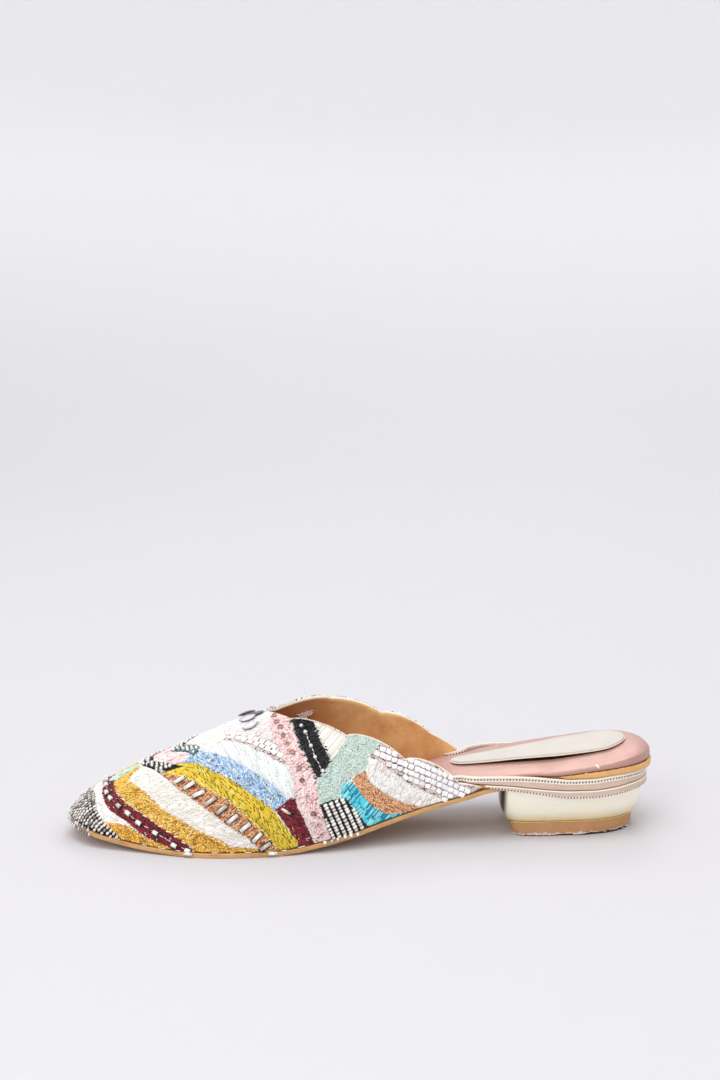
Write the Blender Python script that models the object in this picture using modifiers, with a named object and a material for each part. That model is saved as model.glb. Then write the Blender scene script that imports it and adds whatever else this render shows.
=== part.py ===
"""Embroidered khussa mule with a low block heel, left foot, standing empty on its sole.

Heights and widths are written in millimetres and turned into metres where vertices are made. A place along
the shoe is "along", the distance from the back of the heel towards the toe, which points to -X. The outer
side of the foot is lateral, at -Y, and the inner side is medial, at +Y. The floor is Z = 0.
"""

import math

import bmesh
import bpy
import numpy as np

MM = 0.001
LATERAL, MEDIAL = -1, 1

# Driving dimensions.
LENGTH = 257.0  # heel back to toe tip of the sole
BOARD_OVERHANG = 2.2  # the seat's board stands out behind the heel by this much
HEEL_CENTRE, TOE_CENTRE = 30.0, 242.0  # centres of the two rounded ends
HEEL_ROUNDNESS, TOE_ROUNDNESS = 2.3, 2.0
TOE_TOP_START, TOE_TOP_ROUNDNESS = 248.0, 2.5
SOLE_THICKNESS = 2.0
WALL = 2.0  # upper with its lining
FEATHER_INSET = 0.5  # the upper stands this far in from the sole's edge
RAND_THICKNESS = 1.6
PAD_THICKNESS = 1.2
LIFT_HEIGHT = 6.4
GAP = 0.3  # between pieces that touch
COLLECTION = "khussa"
VAMP_ROWS, UPPER_COLUMNS, WING_ROW = 26, 10, 2.6
END_CROWDING = 0.8  # how far rows crowd together at both rounded ends
BOARD_LIP_START, BOARD_LIP_END = 42.0, 47.0  # the board rests on the strips behind here
FEATHER_GAP = 0.4
TURN_UP, TURN_UP_START, TURN_UP_RUN = 1.6, 85.0, 7.0  # the tips of the tails lift off the sole
SOLE_TUCK = ((0.0, 1.7), (76.0, 1.7), (83.0, 0.0))  # along, inset: the sole's edge behind the strips
SOLE_CHAMFER_IN, SOLE_CHAMFER_UP = 0.3, 0.4
BOARD_LIP = ((0.0, -BOARD_OVERHANG), (18.0, -1.0), (40.0, -0.5))  # along, inset round the seat
CUSHION_FOOT_IN, CUSHION_FOOT_RISE = 0.8, 0.16
CUSHION_SPREADS = (0.96, 0.86, 0.7, 0.45)
CUSHION_DOME, CUSHION_SIDE_POWER = 0.62, 5.0
MEDIAL_LEAD = 8.0  # the medial tail reaches further back than the lateral one by this much
MEDIAL_LEAD_START, MEDIAL_LEAD_RUN = 58.0, 16.0
THROAT = 171.0  # front of the opening
TAIL_END = 78.0  # where the upper's two tails end at the heel

# The bounding box is centred on X and Y.
CENTRE_ALONG = (LENGTH - BOARD_OVERHANG) / 2
CENTRE_ACROSS = -1.65

# Half widths of the sole on each side of the foot's axis. Both ends are rounded off from these.
OUTLINE = (
    # along, lateral, medial
    (0.0, 29.6, 29.6),
    (30.0, 29.6, 29.6),
    (45.0, 30.0, 30.0),
    (60.0, 29.5, 29.0),
    (80.0, 28.5, 25.5),
    (100.0, 29.0, 23.8),
    (120.0, 32.0, 26.0),
    (140.0, 36.5, 31.0),
    (160.0, 40.6, 36.4),
    (171.0, 42.0, 38.3),
    (184.0, 42.7, 39.4),
    (195.0, 42.1, 39.2),
    (205.0, 39.8, 37.8),
    (222.0, 33.5, 33.2),
    (242.0, 24.6, 24.8),
    (LENGTH, 18.0, 18.0),
)

# Underside of the outsole: toe spring, flat forefoot, waist and a plane heel seat.
SOLE_PROFILE = (
    # along, height
    (0.0, 24.2),
    (30.0, 23.4),
    (60.0, 22.6),
    (66.0, 22.44),
    (70.0, 22.1),
    (76.0, 20.9),
    (84.0, 18.9),
    (96.0, 15.9),
    (108.0, 12.7),
    (118.0, 9.9),
    (127.0, 7.3),
    (136.0, 4.9),
    (145.0, 3.0),
    (155.0, 1.5),
    (166.0, 0.0),
    (206.0, 0.0),
    (214.0, 0.4),
    (222.0, 1.0),
    (233.0, 2.3),
    (243.0, 4.0),
    (LENGTH, 6.8),
)

# Crest of the last over the foot. Behind the throat it is only the arch that the two wings follow.
RIDGE = (
    # along, height, across
    (78.0, 84.0, 0.0),
    (110.0, 74.0, 1.0),
    (130.0, 67.0, 2.0),
    (150.0, 59.6, 3.0),
    (160.0, 56.0, 3.0),
    (171.0, 52.3, 3.0),
    (181.0, 49.1, 3.0),
    (191.0, 45.2, 3.0),
    (202.0, 40.4, 2.5),
    (215.0, 34.8, 2.0),
    (227.0, 29.8, 1.5),
    (236.0, 26.2, 1.0),
    (248.0, 21.8, 0.5),
    (LENGTH, 19.0, 0.0),
)

# Scalloped collar. Each row is a cusp, and bulge is the rise of the scallop behind it over a straight line.
LATERAL_COLLAR = (
    # along, height, bulge
    (THROAT, 52.3, 0.9),
    (160.1, 52.6, 2.4),
    (136.9, 47.6, 3.8),
    (111.8, 37.0, 3.8),
    (88.2, 26.2, 0.2),
    (TAIL_END, 24.2, 0.0),
)
MEDIAL_COLLAR = (
    # along, height, bulge
    (THROAT, 52.3, 0.0),
    (164.5, 51.9, 3.0),
    (140.0, 55.2, 2.0),
    (116.8, 46.8, 2.8),
    (95.0, 36.6, 0.5),
    (82.0, 28.0, 0.0),
    (TAIL_END, 24.2, 0.0),
)
BULGE_POWER = 0.65

# What lies on the outsole: heights, and how far each edge stands in from the outline.
LAYERS = (
    # along, board top, board inset, cushion crown, cushion inset
    (0.0, 31.9, 1.7, 36.0, -1.6),
    (12.0, 31.8, 1.7, 37.6, -1.2),
    (25.0, 30.9, 1.7, 37.0, -0.8),
    (37.0, 29.5, 1.7, 36.0, -0.6),
    (45.0, 28.8, 1.7, 35.0, -0.3),
    (57.0, 28.2, 1.7, 33.5, 1.8),
    (70.0, 27.0, 1.8, 31.6, 1.8),
    (77.0, 25.8, 3.2, 30.6, 2.2),
    (83.0, 24.2, 4.2, 29.6, 3.8),
    (89.0, 22.6, 5.4, 28.5, 5.4),
    (94.0, 21.1, 5.2, 27.4, 5.2),
    (99.0, 19.6, 3.4, 26.3, 3.4),
    (110.0, 16.2, 3.0, 23.4, 3.2),
    (127.0, 11.2, 3.0, 17.8, 3.2),
    (145.0, 6.6, 3.0, 11.6, 3.2),
    (166.0, 4.1, 3.0, 7.9, 3.4),
    (206.0, 4.1, 3.0, 7.9, 3.6),
    (222.0, 5.1, 3.2, 8.7, 4.2),
    (243.0, 8.1, 3.6, 11.2, 5.0),
    (LENGTH, 10.8, 4.0, 13.2, 5.0),
)
BOARD_TOP, BOARD_INSET, CUSHION_CROWN, CUSHION_INSET = 1, 2, 3, 4

# The two folded strips round the seat. Their front ends dip behind the upper's tails.
RANDS = (
    # along, top, divide, low, inset of the upper strip's outer face
    (0.0, 28.4, 24.6, 21.0, -0.3),
    (10.0, 28.7, 24.1, 20.5, -0.3),
    (20.0, 28.4, 23.1, 19.5, -0.3),
    (30.0, 27.4, 22.3, 18.7, -0.3),
    (38.0, 27.3, 22.3, 18.7, -0.3),
    (46.0, 27.9, 22.8, 19.7, -0.3),
    (56.0, 28.8, 23.8, 21.4, -0.3),
    (66.0, 29.2, 24.9, 22.7, -0.3),
    (74.0, 29.2, 25.4, 23.8, -0.2),
    (80.0, 29.1, 25.8, 24.8, 0.3),
    (84.0, 29.1, 26.0, 25.3, 1.5),
    (87.0, 29.0, 26.2, 25.7, 3.4),
    (92.0, 28.8, 26.3, 25.9, 3.4),
)
RAND_TOP, RAND_DIVIDE, RAND_LOW, RAND_INSET = 1, 2, 3, 4
UPPER_RAND_FRONT, LOWER_RAND_FRONT = 91.0, 77.0
LOWER_RAND_INSET = -0.3
RAND_ROWS = 22

# Drop-shaped sock pad, round at the heel and narrow at the waist.
PAD = (
    # along, centre line across, half width
    (9.0, 0.0, 14.0),
    (24.0, -0.5, 15.6),
    (36.0, -1.0, 16.0),
    (50.0, -2.0, 14.2),
    (62.0, -3.2, 11.4),
    (75.0, -4.6, 8.0),
    (88.0, -6.0, 4.5),
)
PAD_HEEL_CAP, PAD_TOE_CAP = 15.0, 5.0

# Heel block: centre, half length and half width of its top, and how much its foot draws in.
HEEL_MIDDLE, HEEL_HALF_LENGTH, HEEL_HALF_WIDTH = 34.6, 33.0, 27.4
HEEL_DRAW_IN, HEEL_DRAW_POWER = 3.9, 3.3
HEEL_BACK_POWER, HEEL_FRONT_POWER = 2.3, 4.0
HEEL_BLOCK_SHARES = (0.0, 0.06, 0.13, 0.22, 0.34, 0.5, 0.7, 1.0)
LIFT_EDGE = ((0.9, 0.0), (0.5, 0.5), (0.1, LIFT_HEIGHT))  # drawn in beyond the block's foot, height


def smooth(rows, column, at):
    """Reads one column of a table by monotone cubic interpolation over its first column."""
    places = np.array([row[0] for row in rows])
    values = np.array([row[column] for row in rows])
    at = min(max(at, places[0]), places[-1])
    spans = np.diff(places)
    slopes = np.diff(values) / spans
    tangents = np.zeros(len(rows))
    tangents[0], tangents[-1] = slopes[0], slopes[-1]
    for i in range(1, len(rows) - 1):
        before, after = slopes[i - 1], slopes[i]
        if before * after > 0:
            tangents[i] = 2 * before * after / (before + after)
    i = int(min(np.searchsorted(places, at, side="right") - 1, len(spans) - 1))
    t = (at - places[i]) / spans[i]
    return float(
        values[i] * (1 + 2 * t) * (1 - t) ** 2
        + tangents[i] * spans[i] * t * (1 - t) ** 2
        + values[i + 1] * (3 - 2 * t) * t**2
        - tangents[i + 1] * spans[i] * (1 - t) * t**2
    )


def rounded(t, power):
    """Falls from 1 at t = 0 to 0 at t = 1 as a superellipse does."""
    return max(0.0, 1.0 - min(max(t, 0.0), 1.0) ** power) ** (1.0 / power)


def half_width(along, side):
    """Half width of the sole at a place, on one side of the axis."""
    width = smooth(OUTLINE, 1 if side == LATERAL else 2, along)
    if along > TOE_CENTRE:
        width *= rounded((along - TOE_CENTRE) / (LENGTH - TOE_CENTRE), TOE_ROUNDNESS)
    if along < HEEL_CENTRE:
        width *= rounded((HEEL_CENTRE - along) / HEEL_CENTRE, HEEL_ROUNDNESS)
    return width


def edge_point(along, side, inset=0.0, scale=1.0):
    """(along, across) of a point of the outline, drawn towards the foot's axis by inset and scale."""
    spine = min(max(along, HEEL_CENTRE), TOE_CENTRE)
    across = side * half_width(along, side)
    reach = math.hypot(along - spine, across)
    kept = scale * (1.0 - inset / reach)
    return spine + (along - spine) * kept, across * kept


def sole_bottom(along):
    return smooth(SOLE_PROFILE, 1, along)


def sole_top(along):
    return sole_bottom(along) + SOLE_THICKNESS


def stations(first, last, count):
    """Places from first to last, closer together at both rounded ends."""
    places = []
    for i in range(count + 1):
        turn = 2 * math.pi * i / count
        places.append(first + (last - first) * (turn - END_CROWDING * math.sin(turn)) / (2 * math.pi))
    return places


def vertex(along, across, height):
    """A point of the shoe in metres, in the part's own frame."""
    return (
        (CENTRE_ALONG - along) * MM,
        (across - CENTRE_ACROSS) * MM,
        height * MM,
    )


def sole_inset(along):
    """The sole's edge tucks in behind the strips under the seat."""
    return smooth(SOLE_TUCK, 1, along)


def layer(column, along):
    return smooth(LAYERS, column, along)


def behind_tail(along, side):
    """A place along the waist, moved so that the medial side matches its own tail."""
    share = min(max((along - MEDIAL_LEAD_START) / MEDIAL_LEAD_RUN, 0.0), 1.0)
    return along + (MEDIAL_LEAD * share if side == MEDIAL else 0.0)


def cushion_bottom(along):
    return layer(BOARD_TOP, along) + GAP


def cushion_profile(spread):
    """Share of the cushion's height at a share of its half width: a low crown over a rounded side."""
    return CUSHION_DOME * (1 - spread**2) + (1 - CUSHION_DOME) * rounded(spread, CUSHION_SIDE_POWER)


def cushion_top(along, across):
    side = LATERAL if across < 0 else MEDIAL
    inset = layer(CUSHION_INSET, behind_tail(along, side))
    width = smooth(OUTLINE, 1 if side == LATERAL else 2, along) - inset
    behind = max(0.0, HEEL_CENTRE - along) / (HEEL_CENTRE - inset)
    beside = abs(across) / width
    spread = (behind**HEEL_ROUNDNESS + beside**HEEL_ROUNDNESS) ** (1 / HEEL_ROUNDNESS)
    bottom = cushion_bottom(along)
    return bottom + (layer(CUSHION_CROWN, along) - bottom) * cushion_profile(min(spread, 1.0))


def feather_height(along):
    """Lower edge of the upper, standing on the sole. The tips of the tails turn up a little."""
    turn_up = TURN_UP * (max(0.0, TURN_UP_START - along) / TURN_UP_RUN) ** 2
    return sole_top(along) + FEATHER_GAP + turn_up


def ridge_height(along):
    height = smooth(RIDGE, 1, along)
    if along > TOE_TOP_START:
        fall = rounded((along - TOE_TOP_START) / (LENGTH - TOE_TOP_START), TOE_TOP_ROUNDNESS)
        foot = feather_height(along)
        height = foot + (height - foot) * fall
    return height


def upper_point(along, side, angle):
    """(along, across, height) on the upper's outside. Angle 0 is at the sole and pi / 2 on the crest."""
    foot_along, foot_across = edge_point(along, side, FEATHER_INSET)
    toe_share = max(0.0, (along - TOE_CENTRE) / (LENGTH - TOE_CENTRE))
    crest_along = along - FEATHER_INSET * toe_share
    crest_across = smooth(RIDGE, 2, along)
    foot = feather_height(along)
    out, up = math.cos(angle), math.sin(angle)
    return (
        crest_along + (foot_along - crest_along) * out,
        crest_across + (foot_across - crest_across) * out,
        foot + (ridge_height(along) - foot) * up,
    )


def collar_height(along, side):
    """Height of the scalloped edge at a place behind the throat."""
    cusps = LATERAL_COLLAR if side == LATERAL else MEDIAL_COLLAR
    for front, back in zip(cusps, cusps[1:]):
        if along >= back[0]:
            t = (front[0] - along) / (front[0] - back[0])
            line = front[1] + (back[1] - front[1]) * t
            return line + front[2] * math.sin(math.pi * t) ** BULGE_POWER
    return cusps[-1][1]


def collar_angle(along, side):
    foot, crest = feather_height(along), ridge_height(along)
    up = (collar_height(along, side) - foot) / (crest - foot)
    return math.asin(min(max(up, 0.0), 1.0))


def make_object(name, mesh_data, color, roughness, metallic=0.0):
    """Turns a bmesh into a named object with its own material, in the shoe's collection."""
    bmesh.ops.remove_doubles(mesh_data, verts=mesh_data.verts, dist=1e-6)
    mesh = bpy.data.meshes.new(name)
    mesh_data.to_mesh(mesh)
    mesh_data.free()
    mesh.shade_smooth()
    mesh.set_sharp_from_angle(angle=math.radians(35))
    material = bpy.data.materials.new(name)
    material.use_nodes = True
    shader = material.node_tree.nodes["Principled BSDF"]
    shader.inputs["Base Color"].default_value = (*color, 1.0)
    shader.inputs["Roughness"].default_value = roughness
    shader.inputs["Metallic"].default_value = metallic
    mesh.materials.append(material)
    shoe = bpy.data.objects.new(name, mesh)
    bpy.data.collections[COLLECTION].objects.link(shoe)
    return shoe


def wall_between(mesh_data, lower, upper):
    """Quads between two closed rings of vertices."""
    for i in range(len(lower)):
        j = (i + 1) % len(lower)
        mesh_data.faces.new((lower[i], lower[j], upper[j], upper[i]))


def ring(places, inset, height, scale=1.0):
    """A closed outline: heel tip, lateral side, toe tip and medial side. Inset and height follow along."""
    walk = [(a, LATERAL) for a in places] + [(a, MEDIAL) for a in places[-2:0:-1]]
    points = []
    for along, side in walk:
        place, across = edge_point(along, side, inset(behind_tail(along, side)), scale)
        points.append(vertex(place, across, height(place)))
    return points


def ladder_cap(mesh_data, loop, upward):
    """Closes a ring with strips across the sole, from its heel tip to its toe tip."""
    last = len(loop) // 2
    for i in range(last):
        rung = [loop[i], loop[i + 1], loop[-i - 1], loop[-i] if i else loop[0]]
        if i == 0:
            rung = [loop[0], loop[1], loop[-1]]
        if i == last - 1:
            rung = [loop[i], loop[last], loop[-i]]
        mesh_data.faces.new(rung if not upward else rung[::-1])


def layered(name, rings, color, roughness):
    """A closed piece from rings laid one above the other, closed below and above."""
    mesh_data = bmesh.new()
    loops = [[mesh_data.verts.new(point) for point in points] for points in rings]
    for lower, upper in zip(loops, loops[1:]):
        wall_between(mesh_data, lower, upper)
    ladder_cap(mesh_data, loops[0], upward=False)
    ladder_cap(mesh_data, loops[-1], upward=True)
    bmesh.ops.recalc_face_normals(mesh_data, faces=mesh_data.faces)
    return make_object(name, mesh_data, color, roughness)


def make_outsole():
    places = stations(0.0, LENGTH, 60)
    rings = [
        ring(places, lambda along: sole_inset(along) + SOLE_CHAMFER_IN, sole_bottom),
        ring(places, sole_inset, lambda along: sole_bottom(along) + SOLE_CHAMFER_UP),
        ring(places, sole_inset, sole_top),
    ]
    return layered("outsole", rings, (0.64, 0.36, 0.14), 0.6)


def make_insole_board():
    places = stations(0.0, LENGTH, 56)

    def inset(along):
        return layer(BOARD_INSET, along)

    def top(along):
        return layer(BOARD_TOP, along)

    def lip(along):
        """Top of the strips, on which the seat's board rests."""
        if along >= BOARD_LIP_END:
            return top(along)
        return min(smooth(RANDS, RAND_TOP, along) + GAP, top(along))

    def lip_inset(along):
        """The board stands out over the strips round the back of the seat."""
        out = smooth(BOARD_LIP, 1, along)
        share = (along - BOARD_LIP_START) / (BOARD_LIP_END - BOARD_LIP_START)
        return out + (inset(along) - out) * min(max(share, 0.0), 1.0)

    rings = [
        ring(places, inset, lambda a: sole_top(a) + GAP),
        ring(places, inset, lip),
        ring(places, lip_inset, lip),
        ring(places, lip_inset, top),
    ]
    return layered("insole_board", rings, (0.68, 0.38, 0.13), 0.6)


def make_footbed():
    places = stations(0.0, LENGTH, 52)

    def inset(along):
        return layer(CUSHION_INSET, along)

    def rise(share):
        return lambda a: cushion_bottom(a) + share * (layer(CUSHION_CROWN, a) - cushion_bottom(a))

    rings = [
        ring(places, lambda along: inset(along) + CUSHION_FOOT_IN, cushion_bottom),
        ring(places, inset, rise(CUSHION_FOOT_RISE)),
    ]
    for spread in CUSHION_SPREADS:
        rings.append(ring(places, inset, rise(cushion_profile(spread)), spread))
    return layered("footbed", rings, (0.72, 0.45, 0.37), 0.35)


def pad_half_width(along):
    first, last = PAD[0][0], PAD[-1][0]
    width = smooth(PAD, 2, along)
    if along < first + PAD_HEEL_CAP:
        width *= rounded((first + PAD_HEEL_CAP - along) / PAD_HEEL_CAP, 2.0)
    if along > last - PAD_TOE_CAP:
        width *= rounded((along - last + PAD_TOE_CAP) / PAD_TOE_CAP, 2.0)
    return width


def make_heel_pad():
    """A thin sheet laid on the cushion: a grid shaped to the drop outline, then thickened upwards."""
    rows, columns = 22, 8
    first, last = PAD[0][0], PAD[-1][0]
    mesh_data = bmesh.new()
    bmesh.ops.create_grid(mesh_data, x_segments=rows, y_segments=columns, size=1.0)
    places = stations(first, last, rows)
    for point in mesh_data.verts:
        row = round((point.co.x + 1) / 2 * rows)
        share = point.co.y
        along = places[row]
        across = smooth(PAD, 1, along) + share * pad_half_width(along)
        point.co = vertex(along, across, cushion_top(along, across) + GAP)
    bmesh.ops.remove_doubles(mesh_data, verts=mesh_data.verts, dist=1e-6)
    bmesh.ops.recalc_face_normals(mesh_data, faces=mesh_data.faces)
    if sum(face.normal.z for face in mesh_data.faces) < 0:
        bmesh.ops.reverse_faces(mesh_data, faces=mesh_data.faces)
    pad = make_object("heel_pad", mesh_data, (0.62, 0.58, 0.52), 0.5)
    thicken(pad, PAD_THICKNESS, 1.0)
    return pad


def thicken(shell, thickness, offset):
    solidify = shell.modifiers.new("wall", "SOLIDIFY")
    solidify.thickness = thickness * MM
    solidify.offset = offset
    return solidify


def make_rand(name, low, top, outset, front, color):
    """A strip with a square section that runs round the seat from one waist to the other."""
    places = [front * (1 - math.cos(math.pi / 2 * i / RAND_ROWS)) for i in range(RAND_ROWS + 1)]
    medial_share = (front - MEDIAL_LEAD) / front
    walk = [(a, LATERAL) for a in places[::-1]] + [(a * medial_share, MEDIAL) for a in places[1:]]
    mesh_data = bmesh.new()
    sections = []
    for along, side in walk:
        outer = outset(behind_tail(along, side))
        corners = [
            (outer + RAND_THICKNESS, low(along)),
            (outer, low(along)),
            (outer, top(along)),
            (outer + RAND_THICKNESS, top(along)),
        ]
        section = []
        for inset, height in corners:
            place, across = edge_point(along, side, inset)
            section.append(mesh_data.verts.new(vertex(place, across, height)))
        sections.append(section)
    for before, after in zip(sections, sections[1:]):
        wall_between(mesh_data, before, after)
    mesh_data.faces.new(sections[0])
    mesh_data.faces.new(sections[-1])
    bmesh.ops.recalc_face_normals(mesh_data, faces=mesh_data.faces)
    return make_object(name, mesh_data, color, 0.45)


def make_rands():
    def reading(column, shift=0.0):
        return lambda along: smooth(RANDS, column, along) + shift

    color = (0.66, 0.5, 0.44)
    low, top = reading(RAND_DIVIDE, GAP / 2), reading(RAND_TOP)
    make_rand("rand_upper", low, top, reading(RAND_INSET), UPPER_RAND_FRONT, color)
    low, top = reading(RAND_LOW), reading(RAND_DIVIDE, -GAP / 2)
    make_rand("rand_lower", low, top, lambda along: LOWER_RAND_INSET, LOWER_RAND_FRONT, color)


def heel_outline(draw_in, height, count=44):
    """Plan of the heel block drawn in all round: round at the back, square with round corners in front."""
    points = []
    for i in range(count):
        angle = 2 * math.pi * i / count
        forward, across = math.cos(angle), math.sin(angle)
        power = HEEL_FRONT_POWER if forward > 0 else HEEL_BACK_POWER
        forward = math.copysign(abs(forward) ** (2 / power), forward)
        across = math.copysign(abs(across) ** (2 / power), across)
        place = HEEL_MIDDLE + forward * (HEEL_HALF_LENGTH - draw_in)
        points.append(vertex(place, across * (HEEL_HALF_WIDTH - draw_in), height(place)))
    return points


def stacked(name, rings, color, roughness, metallic=0.0):
    """A closed piece from rings one above the other, closed by a flat face below and above."""
    mesh_data = bmesh.new()
    loops = [[mesh_data.verts.new(point) for point in points] for points in rings]
    for lower, upper in zip(loops, loops[1:]):
        wall_between(mesh_data, lower, upper)
    mesh_data.faces.new(loops[0])
    mesh_data.faces.new(loops[-1])
    bmesh.ops.recalc_face_normals(mesh_data, faces=mesh_data.faces)
    return make_object(name, mesh_data, color, roughness, metallic)


def make_heel():
    foot = LIFT_HEIGHT + GAP

    def block_ring(share):
        draw_in = HEEL_DRAW_IN * (1 - share) ** HEEL_DRAW_POWER
        return heel_outline(draw_in, lambda along: foot + share * (sole_bottom(along) - GAP - foot))

    block = [block_ring(share) for share in HEEL_BLOCK_SHARES]
    stacked("heel_block", block, (0.86, 0.78, 0.55), 0.12, metallic=1.0)
    lift = [heel_outline(HEEL_DRAW_IN + more, lambda along, z=height: z) for more, height in LIFT_EDGE]
    stacked("heel_top_piece", lift, (0.5, 0.3, 0.14), 0.7)


def wing_rows(side):
    """Places behind the throat, with a row at every cusp of the collar."""
    cusps = [row[0] for row in (LATERAL_COLLAR if side == LATERAL else MEDIAL_COLLAR)]
    rows = []
    for front, back in zip(cusps, cusps[1:]):
        count = max(2, round((front - back) / WING_ROW))
        crowd = 2.0 if front == THROAT else 1.0
        rows += [front - (front - back) * ((i + 1) / count) ** crowd for i in range(count)]
    return rows


def upper_half(mesh_data, side):
    """One side of the upper as a grid of faces, from the sole's edge to the crest or the collar."""
    turns = [math.pi / 2 * i / VAMP_ROWS for i in range(VAMP_ROWS, -1, -1)]
    places = [THROAT + (LENGTH - THROAT) * math.sin(turn) for turn in turns] + wing_rows(side)
    grid = []
    for along in places:
        limit = math.pi / 2 if along >= THROAT else collar_angle(along, side)
        angles = [limit * i / UPPER_COLUMNS for i in range(UPPER_COLUMNS + 1)]
        grid.append([mesh_data.verts.new(vertex(*upper_point(along, side, angle))) for angle in angles])
    for front, back in zip(grid, grid[1:]):
        for i in range(UPPER_COLUMNS):
            corners = [front[i], back[i], back[i + 1], front[i + 1]]
            mesh_data.faces.new(corners if side == LATERAL else corners[::-1])


def make_upper():
    mesh_data = bmesh.new()
    for side in (LATERAL, MEDIAL):
        upper_half(mesh_data, side)
    upper = make_object("upper", mesh_data, (0.8, 0.72, 0.66), 0.6)
    thicken(upper, WALL, -1.0)
    return upper


def main():
    for leftover in list(bpy.data.objects):
        bpy.data.objects.remove(leftover)
    bpy.context.scene.collection.children.link(bpy.data.collections.new(COLLECTION))
    make_outsole()
    make_heel()
    make_insole_board()
    make_rands()
    make_footbed()
    make_heel_pad()
    make_upper()


main()
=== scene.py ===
"""Embroidered khussa mule: its looks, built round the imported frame.

Lengths are written in millimetres and turned into metres where vertices are placed. A place along the shoe is
"along", the distance from the back of the heel towards the toe, which points to -X. Lateral, the outer
side of the foot, is at -Y. A place on the upper is (back, up): how far behind the toe tip, and how far above
the sole's edge over the cloth.
"""

import math

import bmesh
import bpy
import numpy as np
from mathutils import Matrix, Vector


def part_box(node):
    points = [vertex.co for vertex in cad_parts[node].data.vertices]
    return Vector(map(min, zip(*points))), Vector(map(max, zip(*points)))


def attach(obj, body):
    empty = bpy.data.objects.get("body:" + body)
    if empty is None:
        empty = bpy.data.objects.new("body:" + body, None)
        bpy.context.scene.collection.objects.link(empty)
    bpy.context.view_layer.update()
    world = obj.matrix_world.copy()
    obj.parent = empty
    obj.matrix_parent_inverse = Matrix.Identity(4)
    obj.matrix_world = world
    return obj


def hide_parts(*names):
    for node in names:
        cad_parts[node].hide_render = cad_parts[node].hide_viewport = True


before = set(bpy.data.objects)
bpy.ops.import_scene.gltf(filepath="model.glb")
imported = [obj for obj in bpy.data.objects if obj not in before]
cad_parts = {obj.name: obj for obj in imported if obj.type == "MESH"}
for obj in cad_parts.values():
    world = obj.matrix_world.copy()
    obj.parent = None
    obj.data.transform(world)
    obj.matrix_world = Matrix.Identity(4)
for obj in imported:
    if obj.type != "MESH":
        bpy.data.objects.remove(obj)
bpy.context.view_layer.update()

MM = 0.001
LATERAL, MEDIAL = -1, 1
SIDES = ((LATERAL, "outer"), (MEDIAL, "inner"))
DRAW = np.random.default_rng(11)

# ------------------------------------------------------------------------------------------------- the last
LENGTH = 257.0  # heel back to toe tip of the sole
HEEL_CENTRE, TOE_CENTRE = 30.0, 242.0
HEEL_ROUNDNESS, TOE_ROUNDNESS = 2.3, 2.0
TOE_TOP_START, TOE_TOP_ROUNDNESS = 248.0, 2.5
SOLE_THICKNESS = 2.0
FEATHER_INSET, FEATHER_GAP = 0.5, 0.4
TURN_UP, TURN_UP_START, TURN_UP_RUN = 1.6, 85.0, 7.0
THROAT, TAIL_END = 171.0, 78.0
MEDIAL_LEAD, MEDIAL_LEAD_START, MEDIAL_LEAD_RUN = 8.0, 58.0, 16.0
RAND_THICKNESS = 1.6
LIFT_HEIGHT, GAP = 6.4, 0.3
CUSHION_FOOT_IN, CUSHION_FOOT_RISE = 0.8, 0.16
CUSHION_DOME, CUSHION_SIDE_POWER = 0.28, 4.0

CENTRE_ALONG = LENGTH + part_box("outsole")[0].x / MM

# Half widths of the sole on each side of the foot's axis. Both ends are rounded off from these.
OUTLINE = (
    # along, lateral, medial
    (0.0, 29.6, 29.6),
    (30.0, 29.6, 29.6),
    (45.0, 30.0, 30.0),
    (60.0, 29.5, 29.0),
    (80.0, 28.5, 25.5),
    (100.0, 29.0, 23.8),
    (120.0, 32.0, 26.0),
    (140.0, 36.5, 31.0),
    (160.0, 40.6, 36.4),
    (171.0, 42.0, 38.3),
    (184.0, 42.7, 39.4),
    (195.0, 42.1, 39.2),
    (205.0, 39.8, 37.8),
    (222.0, 33.5, 33.2),
    (242.0, 24.6, 24.8),
    (LENGTH, 18.0, 18.0),
)
CENTRE_ACROSS = (max(row[2] for row in OUTLINE) - max(row[1] for row in OUTLINE)) / 2

SOLE_PROFILE = (
    # along, height of the sole's underside
    (0.0, 24.2),
    (30.0, 23.4),
    (60.0, 22.6),
    (66.0, 22.44),
    (70.0, 22.1),
    (76.0, 20.9),
    (84.0, 18.9),
    (96.0, 15.9),
    (108.0, 12.7),
    (118.0, 9.9),
    (127.0, 7.3),
    (136.0, 4.9),
    (145.0, 3.0),
    (155.0, 1.5),
    (166.0, 0.0),
    (206.0, 0.0),
    (214.0, 0.4),
    (222.0, 1.0),
    (233.0, 2.3),
    (243.0, 4.0),
    (LENGTH, 6.8),
)

RIDGE = (
    # along, height and across of the last's crest
    (78.0, 84.0, 0.0),
    (110.0, 74.0, 1.0),
    (130.0, 67.0, 2.0),
    (150.0, 59.6, 3.0),
    (160.0, 56.0, 3.0),
    (171.0, 52.3, 3.0),
    (181.0, 49.1, 3.0),
    (191.0, 45.2, 3.0),
    (202.0, 40.4, 2.5),
    (215.0, 34.8, 2.0),
    (227.0, 29.8, 1.5),
    (236.0, 25.3, 1.0),
    (242.0, 22.1, 0.7),
    (246.0, 19.8, 0.5),
    (250.0, 18.0, 0.4),
    (253.0, 15.9, 0.2),
    (LENGTH, 13.4, 0.0),
)

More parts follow.
